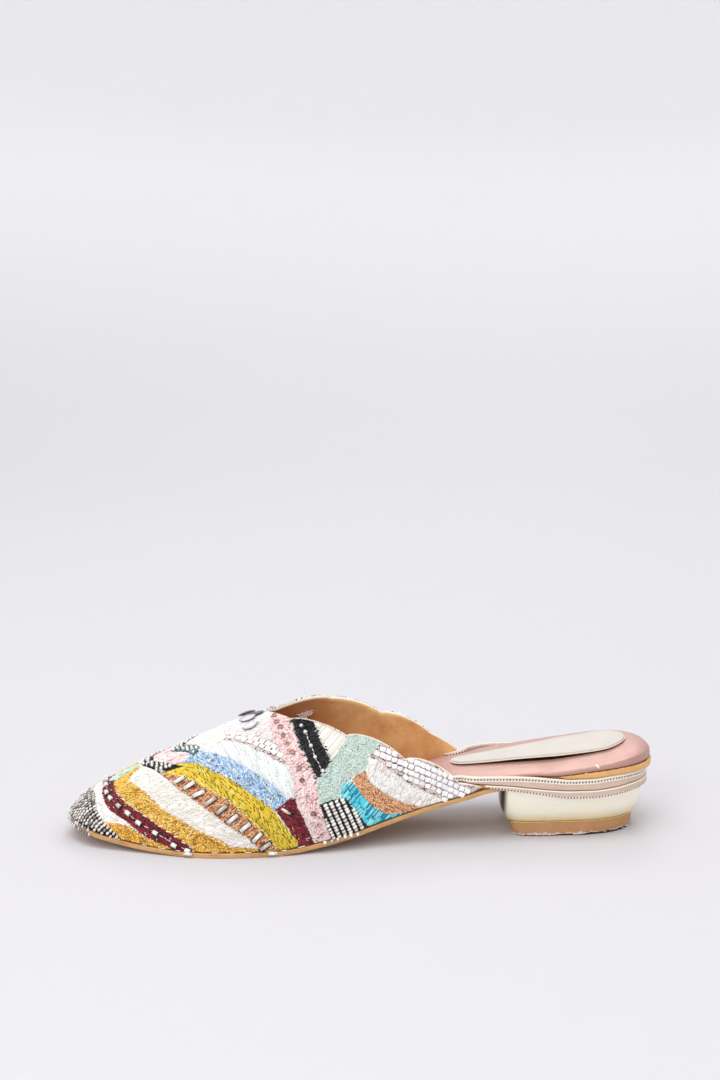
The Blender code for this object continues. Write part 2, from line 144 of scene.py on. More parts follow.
# Scalloped collar. Each row is a cusp, and bulge is the rise of the scallop behind it over a straight line.
LATERAL_COLLAR = (
    # along, height, bulge
    (THROAT, 52.3, 0.9),
    (160.1, 52.6, 2.4),
    (136.9, 47.6, 3.8),
    (111.8, 37.0, 3.8),
    (88.2, 26.2, 0.2),
    (TAIL_END, 24.2, 0.0),
)
MEDIAL_COLLAR = (
    # along, height, bulge
    (THROAT, 52.3, 0.0),
    (164.5, 51.9, 3.0),
    (140.0, 55.2, 2.0),
    (116.8, 46.8, 2.8),
    (95.0, 36.6, 0.5),
    (82.0, 28.0, 0.0),
    (TAIL_END, 24.2, 0.0),
)
BULGE_POWER = 0.65

LAYERS = (
    # along, board top, cushion crown, cushion inset
    (0.0, 31.9, 41.6, -1.6),
    (12.0, 31.8, 38.4, -1.2),
    (25.0, 30.9, 35.4, -0.8),
    (37.0, 29.5, 33.8, -0.6),
    (45.0, 28.8, 32.5, -0.3),
    (57.0, 28.2, 31.3, 1.8),
    (70.0, 27.0, 30.1, 1.8),
    (77.0, 25.8, 29.5, 2.2),
    (83.0, 24.2, 29.0, 3.8),
    (89.0, 22.6, 28.5, 5.4),
    (94.0, 21.1, 27.4, 5.2),
    (99.0, 19.6, 26.3, 3.4),
    (110.0, 16.2, 23.4, 3.2),
    (127.0, 11.2, 17.8, 3.2),
    (145.0, 6.6, 11.6, 3.2),
    (166.0, 4.1, 7.9, 3.4),
    (206.0, 4.1, 7.9, 3.6),
    (222.0, 5.1, 8.7, 4.2),
    (243.0, 8.1, 11.2, 5.0),
    (LENGTH, 10.8, 13.2, 5.0),
)
BOARD_TOP, CUSHION_CROWN, CUSHION_INSET = 1, 2, 3

RANDS = (
    # along, top, divide, low, inset of the upper strip's outer face
    (0.0, 28.4, 24.6, 21.0, -0.3),
    (10.0, 28.7, 24.1, 20.5, -0.3),
    (20.0, 28.4, 23.1, 19.5, -0.3),
    (30.0, 27.4, 22.3, 18.7, -0.3),
    (38.0, 27.3, 22.3, 18.7, -0.3),
    (46.0, 27.9, 22.8, 19.7, -0.3),
    (56.0, 28.8, 23.8, 21.4, -0.3),
    (66.0, 29.2, 24.9, 22.7, -0.3),
    (74.0, 29.2, 25.4, 23.8, -0.2),
    (80.0, 29.1, 25.8, 24.8, 0.3),
    (84.0, 29.1, 26.0, 25.3, 1.5),
    (87.0, 29.0, 26.2, 25.7, 3.4),
    (92.0, 28.8, 26.3, 25.9, 3.4),
)
RAND_TOP, RAND_DIVIDE, RAND_LOW, RAND_INSET = 1, 2, 3, 4
UPPER_RAND_FRONT, LOWER_RAND_FRONT, LOWER_RAND_INSET = 91.0, 77.0, -0.3

PAD = (
    # along, centre line across, half width
    (9.0, 0.6, 12.8),
    (24.0, 0.2, 14.8),
    (36.0, -0.3, 15.0),
    (50.0, -0.8, 13.0),
    (62.0, -1.5, 10.2),
    (75.0, -2.2, 7.4),
    (88.0, -2.8, 4.4),
)
PAD_HEEL_CAP, PAD_TOE_CAP = 12.0, 5.0

HEEL_MIDDLE, HEEL_HALF_LENGTH, HEEL_HALF_WIDTH = 36.0, 34.4, 27.4
HEEL_DRAW_IN, HEEL_DRAW_POWER = 3.9, 3.3
HEEL_BACK_POWER, HEEL_FRONT_POWER = 2.3, 7.0
HEEL_SLANT, HEEL_SLANT_MORE, HEEL_SLANT_LIMIT = 8.0, 0.5, 4.0  # its front is further back on the medial side


def smooth(rows, column, at):
    """Reads one column of a table by monotone cubic interpolation over its first column."""
    table = np.array(rows, float)
    places, values = table[:, 0], table[:, column]
    at = np.clip(at, places[0], places[-1])
    spans = np.diff(places)
    slopes = np.diff(values) / spans
    before, after = slopes[:-1], slopes[1:]
    total = np.where(before + after == 0, 1.0, before + after)
    inner = np.where(before * after > 0, 2 * before * after / total, 0.0)
    tangents = np.concatenate([slopes[:1], inner, slopes[-1:]])
    i = np.clip(np.searchsorted(places, at, side="right") - 1, 0, len(spans) - 1)
    t = (at - places[i]) / spans[i]
    return (
        values[i] * (1 + 2 * t) * (1 - t) ** 2
        + tangents[i] * spans[i] * t * (1 - t) ** 2
        + values[i + 1] * (3 - 2 * t) * t**2
        - tangents[i + 1] * spans[i] * (1 - t) * t**2
    )


def rounded(t, power):
    """Falls from 1 at t = 0 to 0 at t = 1 as a superellipse does."""
    return np.maximum(0.0, 1.0 - np.clip(t, 0.0, 1.0) ** power) ** (1.0 / power)


def half_width(along, side):
    width = smooth(OUTLINE, 1 if side == LATERAL else 2, along)
    width = width * rounded((along - TOE_CENTRE) / (LENGTH - TOE_CENTRE), TOE_ROUNDNESS)
    return width * rounded((HEEL_CENTRE - along) / HEEL_CENTRE, HEEL_ROUNDNESS)


def edge_point(along, side, inset=0.0, scale=1.0):
    """(along, across) of the outline, drawn towards the foot's axis by inset and scale."""
    spine = np.clip(along, HEEL_CENTRE, TOE_CENTRE)
    across = side * half_width(along, side)
    reach = np.hypot(along - spine, across)
    kept = scale * (1.0 - inset / reach)
    return spine + (along - spine) * kept, across * kept


def sole_bottom(along):
    return smooth(SOLE_PROFILE, 1, along)


def layer(column, along):
    return smooth(LAYERS, column, along)


def behind_tail(along, side):
    """A place along the waist, moved so that the medial side matches its own tail."""
    share = np.clip((along - MEDIAL_LEAD_START) / MEDIAL_LEAD_RUN, 0.0, 1.0)
    return along + (MEDIAL_LEAD * share if side == MEDIAL else 0.0)


def feather_height(along):
    """Lower edge of the upper, standing on the sole."""
    turn_up = TURN_UP * (np.maximum(0.0, TURN_UP_START - along) / TURN_UP_RUN) ** 2
    return sole_bottom(along) + SOLE_THICKNESS + FEATHER_GAP + turn_up


def ridge_height(along):
    foot = feather_height(along)
    fall = rounded((along - TOE_TOP_START) / (LENGTH - TOE_TOP_START), TOE_TOP_ROUNDNESS)
    return foot + (smooth(RIDGE, 1, along) - foot) * fall


def frame_point(along, across, height):
    """A point in the part's own frame, in millimetres."""
    return np.stack(np.broadcast_arrays(CENTRE_ALONG - along, across - CENTRE_ACROSS, height), axis=-1)


def last_point(along, side, angle):
    """A point on the upper's outside. Angle 0 is at the sole and pi / 2 on the crest."""
    foot_along, foot_across = edge_point(along, side, FEATHER_INSET)
    toe_share = np.maximum(0.0, (along - TOE_CENTRE) / (LENGTH - TOE_CENTRE))
    crest_along = along - FEATHER_INSET * toe_share
    crest_across = smooth(RIDGE, 2, along)
    foot = feather_height(along)
    out, up = np.cos(angle), np.sin(angle)
    return frame_point(
        crest_along + (foot_along - crest_along) * out,
        crest_across + (foot_across - crest_across) * out,
        foot + (ridge_height(along) - foot) * up,
    )


def collar_angle(along, side):
    """How far up the last the cloth reaches: to the crest in front of the throat, and else to the collar."""
    cusps = LATERAL_COLLAR if side == LATERAL else MEDIAL_COLLAR
    height = np.full(np.shape(along), cusps[-1][1], float)
    for front, back in list(zip(cusps, cusps[1:]))[::-1]:
        t = np.clip((front[0] - along) / (front[0] - back[0]), 0.0, 1.0)
        scallop = front[1] + (back[1] - front[1]) * t + front[2] * np.sin(np.pi * t) ** BULGE_POWER
        height = np.where(along >= back[0], scallop, height)
    foot = feather_height(along)
    share = np.clip((height - foot) / (ridge_height(along) - foot), 0.0, 1.0)
    return np.where(along >= THROAT, math.pi / 2, np.arcsin(share))


def cushion_bottom(along):
    return layer(BOARD_TOP, along) + GAP


def cushion_profile(spread):
    """Share of the cushion's height at a share of its half width."""
    return CUSHION_DOME * (1 - spread**2) + (1 - CUSHION_DOME) * rounded(spread, CUSHION_SIDE_POWER)


def cushion_top(along, across):
    side = np.where(across < 0, LATERAL, MEDIAL)
    width = np.zeros(np.shape(across))
    inset = np.zeros(np.shape(across))
    for one, column in ((LATERAL, 1), (MEDIAL, 2)):
        own = layer(CUSHION_INSET, behind_tail(along, one))
        inset = np.where(side == one, own, inset)
        width = np.where(side == one, smooth(OUTLINE, column, along) - own, width)
    behind = np.maximum(0.0, HEEL_CENTRE - along) / (HEEL_CENTRE - inset)
    spread = (behind**HEEL_ROUNDNESS + (np.abs(across) / width) ** HEEL_ROUNDNESS) ** (1 / HEEL_ROUNDNESS)
    bottom = cushion_bottom(along)
    return bottom + (layer(CUSHION_CROWN, along) - bottom) * cushion_profile(np.minimum(spread, 1.0))


# ------------------------------------------------------------------------------ the upper as a flat pattern

PAPER_REACH = LENGTH - TAIL_END
PAPER_ROWS, PAPER_COLUMNS, PAPER_ANGLES = 520, 110, 181
GRAIN = 0.4  # how far apart two places are read to find a direction on the cloth
TINY_GIRTH = 1e-3


def unit(vectors):
    return vectors / np.maximum(np.linalg.norm(vectors, axis=-1, keepdims=True), 1e-9)


def laid_flat(vectors, normals):
    """Vectors turned into the surface that has these normals, one unit long."""
    return unit(vectors - normals * np.sum(vectors * normals, axis=-1, keepdims=True))


def walked(line):
    """How far along a line each of its points lies."""
    return np.concatenate([[0], np.cumsum(np.linalg.norm(np.diff(line, axis=0), axis=1))])


class Paper:
    """One side of the upper: turns a place (back, up) into a point on the last and its outward normal."""

    def __init__(self, side):
        self.backs = PAPER_REACH * np.linspace(0.0, 1.0, PAPER_ROWS) ** 2
        along = LENGTH - self.backs
        angles = np.linspace(0.0, math.pi / 2, PAPER_ANGLES)
        points = last_point(along[:, None], side, angles[None, :])
        arcs = np.array([walked(row) for row in points])
        self.girth = arcs[:, -1]
        self.limit = np.array([np.interp(a, angles, arc) for a, arc in zip(collar_angle(along, side), arcs)])
        shares = np.linspace(0.0, 1.0, PAPER_COLUMNS)
        self.points = np.empty((PAPER_ROWS, PAPER_COLUMNS, 3))
        for row in range(PAPER_ROWS):
            for axis in range(3):
                column = np.interp(shares * self.girth[row], arcs[row], points[row, :, axis])
                self.points[row, :, axis] = column
        normals = np.cross(np.gradient(self.points, axis=0), np.gradient(self.points, axis=1)) * side
        normals[:2] = normals[2]
        self.normals = unit(normals)
        if self.normals[PAPER_ROWS // 2, 4, 1] * side < 0:
            self.normals = -self.normals

    def girth_at(self, back):
        return np.interp(back, self.backs, self.girth)

    def read(self, back, up):
        row = np.sqrt(np.clip(back / PAPER_REACH, 0.0, 1.0)) * (PAPER_ROWS - 1)
        column = np.clip(up / np.maximum(self.girth_at(back), TINY_GIRTH), 0.0, 1.0) * (PAPER_COLUMNS - 1)
        i = np.minimum(row.astype(int), PAPER_ROWS - 2)
        j = np.minimum(column.astype(int), PAPER_COLUMNS - 2)
        u, v = (row - i)[..., None], (column - j)[..., None]
        found = []
        for grid in (self.points, self.normals):
            low = grid[i, j] * (1 - u) + grid[i + 1, j] * u
            high = grid[i, j + 1] * (1 - u) + grid[i + 1, j + 1] * u
            found.append(low * (1 - v) + high * v)
        return found


PAPERS = {side: Paper(side) for side, _ in SIDES}


def on_upper(side, back, up):
    """Point and normal of a place. A place beyond the crest lies on the other side of the foot."""
    back, up = np.broadcast_arrays(np.asarray(back, float), np.asarray(up, float))
    own, other = PAPERS[side], PAPERS[-side]
    over = up - own.girth_at(back)
    beyond = (over > 0)[..., None]
    sheets = zip(other.read(back, other.girth_at(back) - over), own.read(back, up))
    points, normals = (np.where(beyond, far, near) for far, near in sheets)
    return points, unit(normals)


def reach_up(side, back):
    """How far up the cloth goes at a place: to the crest or the collar."""
    return np.interp(back, PAPERS[side].backs, PAPERS[side].limit)


def as_outer(side, back, up):
    """The same place of the pattern on the lateral side, which the panels are drawn for."""
    return up * reach_up(LATERAL, back) / np.maximum(reach_up(side, back), TINY_GIRTH)


def as_own(side, back, up):
    """A place drawn for the lateral side, moved to this side."""
    return up * reach_up(side, back) / np.maximum(reach_up(LATERAL, back), TINY_GIRTH)


def cloth_frame(side, back, up, slant):
    """Point, direction at slant in the cloth, direction across it, and normal."""
    points, normals = on_upper(side, back, up)
    ahead, _ = on_upper(side, back + GRAIN * np.cos(slant), up + GRAIN * np.sin(slant))
    forward = laid_flat(ahead - points, normals)
    return points, forward, np.cross(normals, forward), normals


# ------------------------------------------------------------------------------------------------ workbench

SHEET_JOIN = 2e-5  # metres within which the edges of two sheets or triangles are one


def linked(name, data):
    made = bpy.data.objects.new(name, data)
    bpy.context.scene.collection.objects.link(made)
    return made


def mesh_of(mesh_data, name):
    mesh = bpy.data.meshes.new(name)
    mesh_data.to_mesh(mesh)
    mesh_data.free()
    return mesh


def as_piece(mesh, material, replaces=()):
    """Makes a mesh a piece that rides on the shoe."""
    mesh.materials.append(material)
    mesh.shade_smooth()
    piece = linked(mesh.name, mesh)
    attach(piece, "root")
    if replaces:
        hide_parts(*replaces)
    return piece


def new_piece(mesh_data, name, material, replaces=()):
    return as_piece(mesh_of(mesh_data, name), material, replaces)


def thicken(piece, thickness, offset):
    wall = piece.modifiers.new("thickness", "SOLIDIFY")
    wall.thickness = thickness * MM
    wall.offset = offset


def soften(piece, width, degrees):
    """Rounds edges that are sharper than an angle."""
    rounding = piece.modifiers.new("softened", "BEVEL")
    rounding.width = width * MM
    rounding.segments = 2
    rounding.limit_method = "ANGLE"
    rounding.angle_limit = math.radians(degrees)


def merge_close(mesh_data, reach):
    bmesh.ops.remove_doubles(mesh_data, verts=mesh_data.verts, dist=reach)


def lay_grid(mesh_data, points):
    """Adds a grid laid on rows of points, (rows, columns, 3) in millimetres."""
    rows, columns = points.shape[:2]
    made = bmesh.ops.create_grid(mesh_data, x_segments=columns - 1, y_segments=rows - 1, size=1.0)["verts"]
    for vertex, place in zip(made, points.reshape(-1, 3) * MM):
        vertex.co = place
    return made


def grid_of(points, close_ring=False, cap_ends=False, merge=1e-6):
    """A grid laid on rows of points. A ring's last column meets its first."""
    if close_ring:
        points = np.concatenate([points, points[:, :1]], axis=1)
    mesh_data = bmesh.new()
    lay_grid(mesh_data, points)
    merge_close(mesh_data, merge)
    if cap_ends:
        edges = [edge for edge in mesh_data.edges if edge.is_boundary]
        bmesh.ops.holes_fill(mesh_data, edges=edges, sides=0)
    bmesh.ops.recalc_face_normals(mesh_data, faces=mesh_data.faces)
    return mesh_data


def solid_of(rings, name, material, replaces=()):
    """A closed piece through rings of points, with both its ends capped."""
    new_piece(grid_of(np.array(rings), close_ring=True, cap_ends=True), name, material, replaces)


def tube(line, aside, over, sides):
    """Rings round a line. Aside and over are the two radii of each ring, as vectors."""
    turn = np.linspace(0.0, 2 * math.pi, sides, endpoint=False)[:, None]
    aside, over = (np.broadcast_to(radius, line.shape)[:, None] for radius in (aside, over))
    return line[:, None] + aside * np.cos(turn) + over * np.sin(turn)


def full_spin(mesh_data, axis, steps, merge):
    bmesh.ops.spin(
        mesh_data, geom=mesh_data.edges[:] + mesh_data.verts[:], axis=axis, cent=(0, 0, 0),
        angle=2 * math.pi, steps=steps, use_merge=True,
    )
    merge_close(mesh_data, merge)


def small_shape(mesh_data, name):
    """A small shape that is copied many times: its mesh and its vertices."""
    mesh_data.normal_update()
    bmesh.ops.recalc_face_normals(mesh_data, faces=mesh_data.faces)
    mesh = mesh_of(mesh_data, name)
    return mesh, np.array([vertex.co for vertex in mesh.vertices])


def copies(name, shape, places, dyes, material):
    """One piece made of copies of a small shape, each with its own dye. Places is (copies, vertices, 3)."""
    mesh_data = bmesh.new()
    for _ in places:
        mesh_data.from_mesh(shape[0])
    mesh = mesh_of(mesh_data, name)
    mesh.vertices.foreach_set("co", (places.reshape(-1, 3) * MM).astype(np.float32).ravel())
    mesh.update()
    dye = mesh.color_attributes.new("dye", "FLOAT_COLOR", "POINT")
    values = np.ones((len(mesh.vertices), 4), np.float32)
    values[:, :3] = np.repeat(dyes, places.shape[1], axis=0)
    dye.data.foreach_set("color", values.ravel())
    as_piece(mesh, material)


def turned(shape, centres, forward, across, normals, sizes):
    """Copies of a shape, each at its centre and turned to its own directions, with its own three sizes."""
    local = shape[1] * np.broadcast_to(sizes, (len(centres), 3))[:, None, :]
    return (
        centres[:, None, :]
        + local[..., 0:1] * forward[:, None, :]
        + local[..., 1:2] * across[:, None, :]
        + local[..., 2:3] * normals[:, None, :]
    )


STRAND_SWELL = -0.65  # 0 is a ball stretched into a spindle, and -1 a tube
BEAD_SIDES, BEAD_RING, BEAD_BORE = 8, 4, 0.42
TILE_BEVEL = 0.07
LEAF_TAPER = 1.6
BUGLE_WALL, BUGLE_DISH = 0.16, 0.04


def strand_shape():
    """A length of thread from -1 to 1 along X, nearly as wide at its ends as in its middle."""
    mesh_data = bmesh.new()
    bmesh.ops.create_uvsphere(mesh_data, u_segments=4, v_segments=5, radius=1.0)
    for vertex in mesh_data.verts:
        x, y, z = vertex.co
        radius = math.hypot(x, y)
        swell = radius**STRAND_SWELL if radius > 1e-6 else 0.0
        vertex.co = (z, x * swell, y * swell)
    return small_shape(mesh_data, "strand")


def bead_shape():
    """A seed bead with its bore along X, one unit across and one unit long."""
    mesh_data = bmesh.new()
    middle, wall = (1 + BEAD_BORE) / 4, (1 - BEAD_BORE) / 4
    for vertex in bmesh.ops.create_circle(mesh_data, segments=BEAD_RING, radius=1.0)["verts"]:
        vertex.co = (vertex.co.x * 0.5, middle + vertex.co.y * wall, 0.0)
    full_spin(mesh_data, (1, 0, 0), BEAD_SIDES, 1e-4)
    return small_shape(mesh_data, "bead")


def tile_shape():
    """A square-cut bead: a block with softened edges, one unit each way."""
    mesh_data = bmesh.new()
    bmesh.ops.create_cube(mesh_data, size=1.0)
    bmesh.ops.bevel(
        mesh_data, geom=mesh_data.edges[:], offset=TILE_BEVEL, segments=1, profile=0.5, affect="EDGES",
        material=-1,
    )
    return small_shape(mesh_data, "tile")


def leaf_shape():
    """A leaf-shaped sequin along X, narrow towards both its ends."""
    mesh_data = bmesh.new()
    bmesh.ops.create_uvsphere(mesh_data, u_segments=12, v_segments=6, radius=0.5)
    for vertex in mesh_data.verts:
        x, y, z = vertex.co
        vertex.co = (x, y * (1 - LEAF_TAPER * x * x), z)
    return small_shape(mesh_data, "leaf")


def bugle_shape():
    """A short tube along X, one unit long and one across, its ends dished."""
    mesh_data = bmesh.new()
    bmesh.ops.create_cone(
        mesh_data, cap_ends=True, segments=8, radius1=0.5, radius2=0.5, depth=1.0,
        matrix=Matrix.Rotation(math.pi / 2, 4, "Y"),
    )
    ends = [face for face in mesh_data.faces if len(face.verts) > 4]
    bmesh.ops.inset_individual(mesh_data, faces=ends, thickness=BUGLE_WALL)
    for face in ends:
        shift = Vector((-math.copysign(BUGLE_DISH, face.calc_center_median().x), 0, 0))
        bmesh.ops.translate(mesh_data, vec=shift, verts=face.verts)
    return small_shape(mesh_data, "bugle")


STRAND, BEAD, TILE, LEAF, BUGLE = strand_shape(), bead_shape(), tile_shape(), leaf_shape(), bugle_shape()

# ------------------------------------------------------------------------------------------- the embroidery

def linear(red, green, blue):
    """A display colour from 0 to 255 as the linear values that shaders take."""
    share = np.array((red, green, blue)) / 255.0
    return np.where(share <= 0.04045, share / 12.92, ((share + 0.055) / 1.055) ** 2.4)


# Threads of each colour, as (share of the stitches, red, green, blue). The first is also the cloth's ground.
DYES = {
    "white": ((7, 251, 248, 243), (2, 236, 230, 223)),
    "mustard": ((5, 244, 198, 82), (3, 253, 224, 130), (2, 202, 142, 44)),
    "dark_mustard": ((5, 236, 182, 66), (3, 248, 206, 100), (2, 184, 128, 38)),
    "maroon": ((6, 138, 20, 36), (2, 166, 46, 60), (3, 74, 6, 20)),
    "cream": ((8, 254, 251, 244), (3, 243, 235, 224)),
    "copper": ((4, 230, 166, 114), (3, 244, 196, 152), (2, 158, 92, 54)),
    "copper_dark": ((4, 238, 176, 128), (3, 250, 206, 160), (1, 184, 116, 72)),
    "olive": ((8, 246, 214, 58), (3, 252, 232, 98), (1, 206, 176, 44)),
    "blue": ((6, 168, 204, 236), (3, 226, 240, 250), (1, 130, 158, 194)),
    "mint_white": ((8, 251, 253, 251), (3, 233, 239, 237)),
    "pink": ((6, 253, 222, 219), (4, 255, 238, 235), (1, 220, 162, 154)),
    "black": ((6, 16, 14, 18), (2, 40, 36, 40)),
    "mint": ((7, 208, 227, 217), (4, 224, 239, 232), (1, 172, 197, 184)),
    "turquoise": ((5, 90, 226, 242), (3, 168, 242, 248), (2, 24, 152, 190)),
    "aqua": ((5, 166, 224, 232), (3, 212, 242, 244), (1, 90, 182, 208)),
    "teal": ((3, 70, 120, 132), (3, 24, 32, 38), (2, 120, 170, 178)),
    "blush": ((9, 247, 242, 241), (1, 226, 208, 203)),
    "grout": ((3, 226, 208, 200), (3, 246, 238, 234), (1, 136, 100, 86)),
    "rim": ((3, 252, 246, 236), (1, 150, 124, 108)),
    "dark_brown": ((1, 40, 32, 30), (1, 78, 64, 58)),
    "pewter": ((5, 226, 218, 210), (4, 248, 244, 238), (3, 150, 142, 134)),
    "silver": ((6, 248, 243, 236), (3, 255, 252, 248), (2, 210, 202, 192)),
    "tin": ((1, 186, 188, 194), (1, 198, 198, 204)),
    "bronze": ((1, 104, 98, 96),),
    "snow": ((9, 255, 252, 247), (2, 232, 223, 214)),
    "rose_metal": ((3, 184, 144, 138), (2, 148, 104, 98), (1, 226, 198, 192)),
    "pearl": ((6, 254, 251, 250), (2, 250, 244, 246), (1, 240, 228, 228)),
    "sea": ((5, 250, 244, 234), (2, 168, 196, 206), (2, 110, 104, 100), (2, 222, 206, 184)),
}

# How threads are laid: how wide and high one is, how long, how much its length, direction and tone
# wander, and how far apart rows lie as a share of a thread's width.
STITCHES = {
    # name: (width, height, length, spread of length, spread of slant, spread of tone, row step)
    "satin": (0.66, 0.72, 16.0, 0.1, 0.02, 0.03, 1.0),
    "ribs": (0.56, 0.64, 4.6, 0.4, 0.05, 0.05, 1.08),
    "fine_satin": (0.5, 0.52, 4.0, 0.4, 0.03, 0.02, 0.94),
    "streak": (0.66, 0.74, 4.0, 0.35, 0.05, 0.06, 1.1),
    "seed": (0.52, 0.56, 1.4, 0.4, 0.28, 0.09, 0.82),
    "tight": (0.48, 0.5, 1.35, 0.4, 0.3, 0.04, 0.8),
    "fan": (0.62, 0.64, 3.2, 0.4, 0.09, 0.03, 0.96),
    "rope": (0.7, 0.75, 3.0, 0.35, 0.14, 0.08, 0.88),
}
SAMPLE = 0.25  # how finely a row is read to find where its panel ends
RAGGED = 0.35  # how far a row's ends wander
# Panels whose rows' ends wander more.
JAGGED = {"black_band": 1.8, "maroon": 1.3, "copper_tail": 0.5, "mustard": 0.5}
THREAD_SEAT = -0.42  # height of a thread's middle over the last's outside
CREST_CROSSING = 1.3  # stitches end this far before or beyond the crest, so that no seam shows there
EDGE_MARGIN, TOE_MARGIN = 0.25, 0.3  # bare cloth at the sole and the collar, and at the toe tip
PATTERN_TOP, ROW_MARGIN = 85.0, 6
FIRST_PART, LEAST_STITCH = (0.3, 1.0), 0.3  # a row's first stitch as a share of a whole one
LEAST_SHARE, STITCH_OVERLAP = 0.35, 0.12  # a shorter rest joins the stitch before it
TONE_LIMITS = (0.6, 1.3)
THREAD_SPREAD, THREAD_SEAT_SPREAD = 0.12, 0.07  # how much the threads' width and height over the cloth differ
STRAND_DIP, STRAND_DIP_POWER = 0.45, 6  # how far a stitch's ends sink in

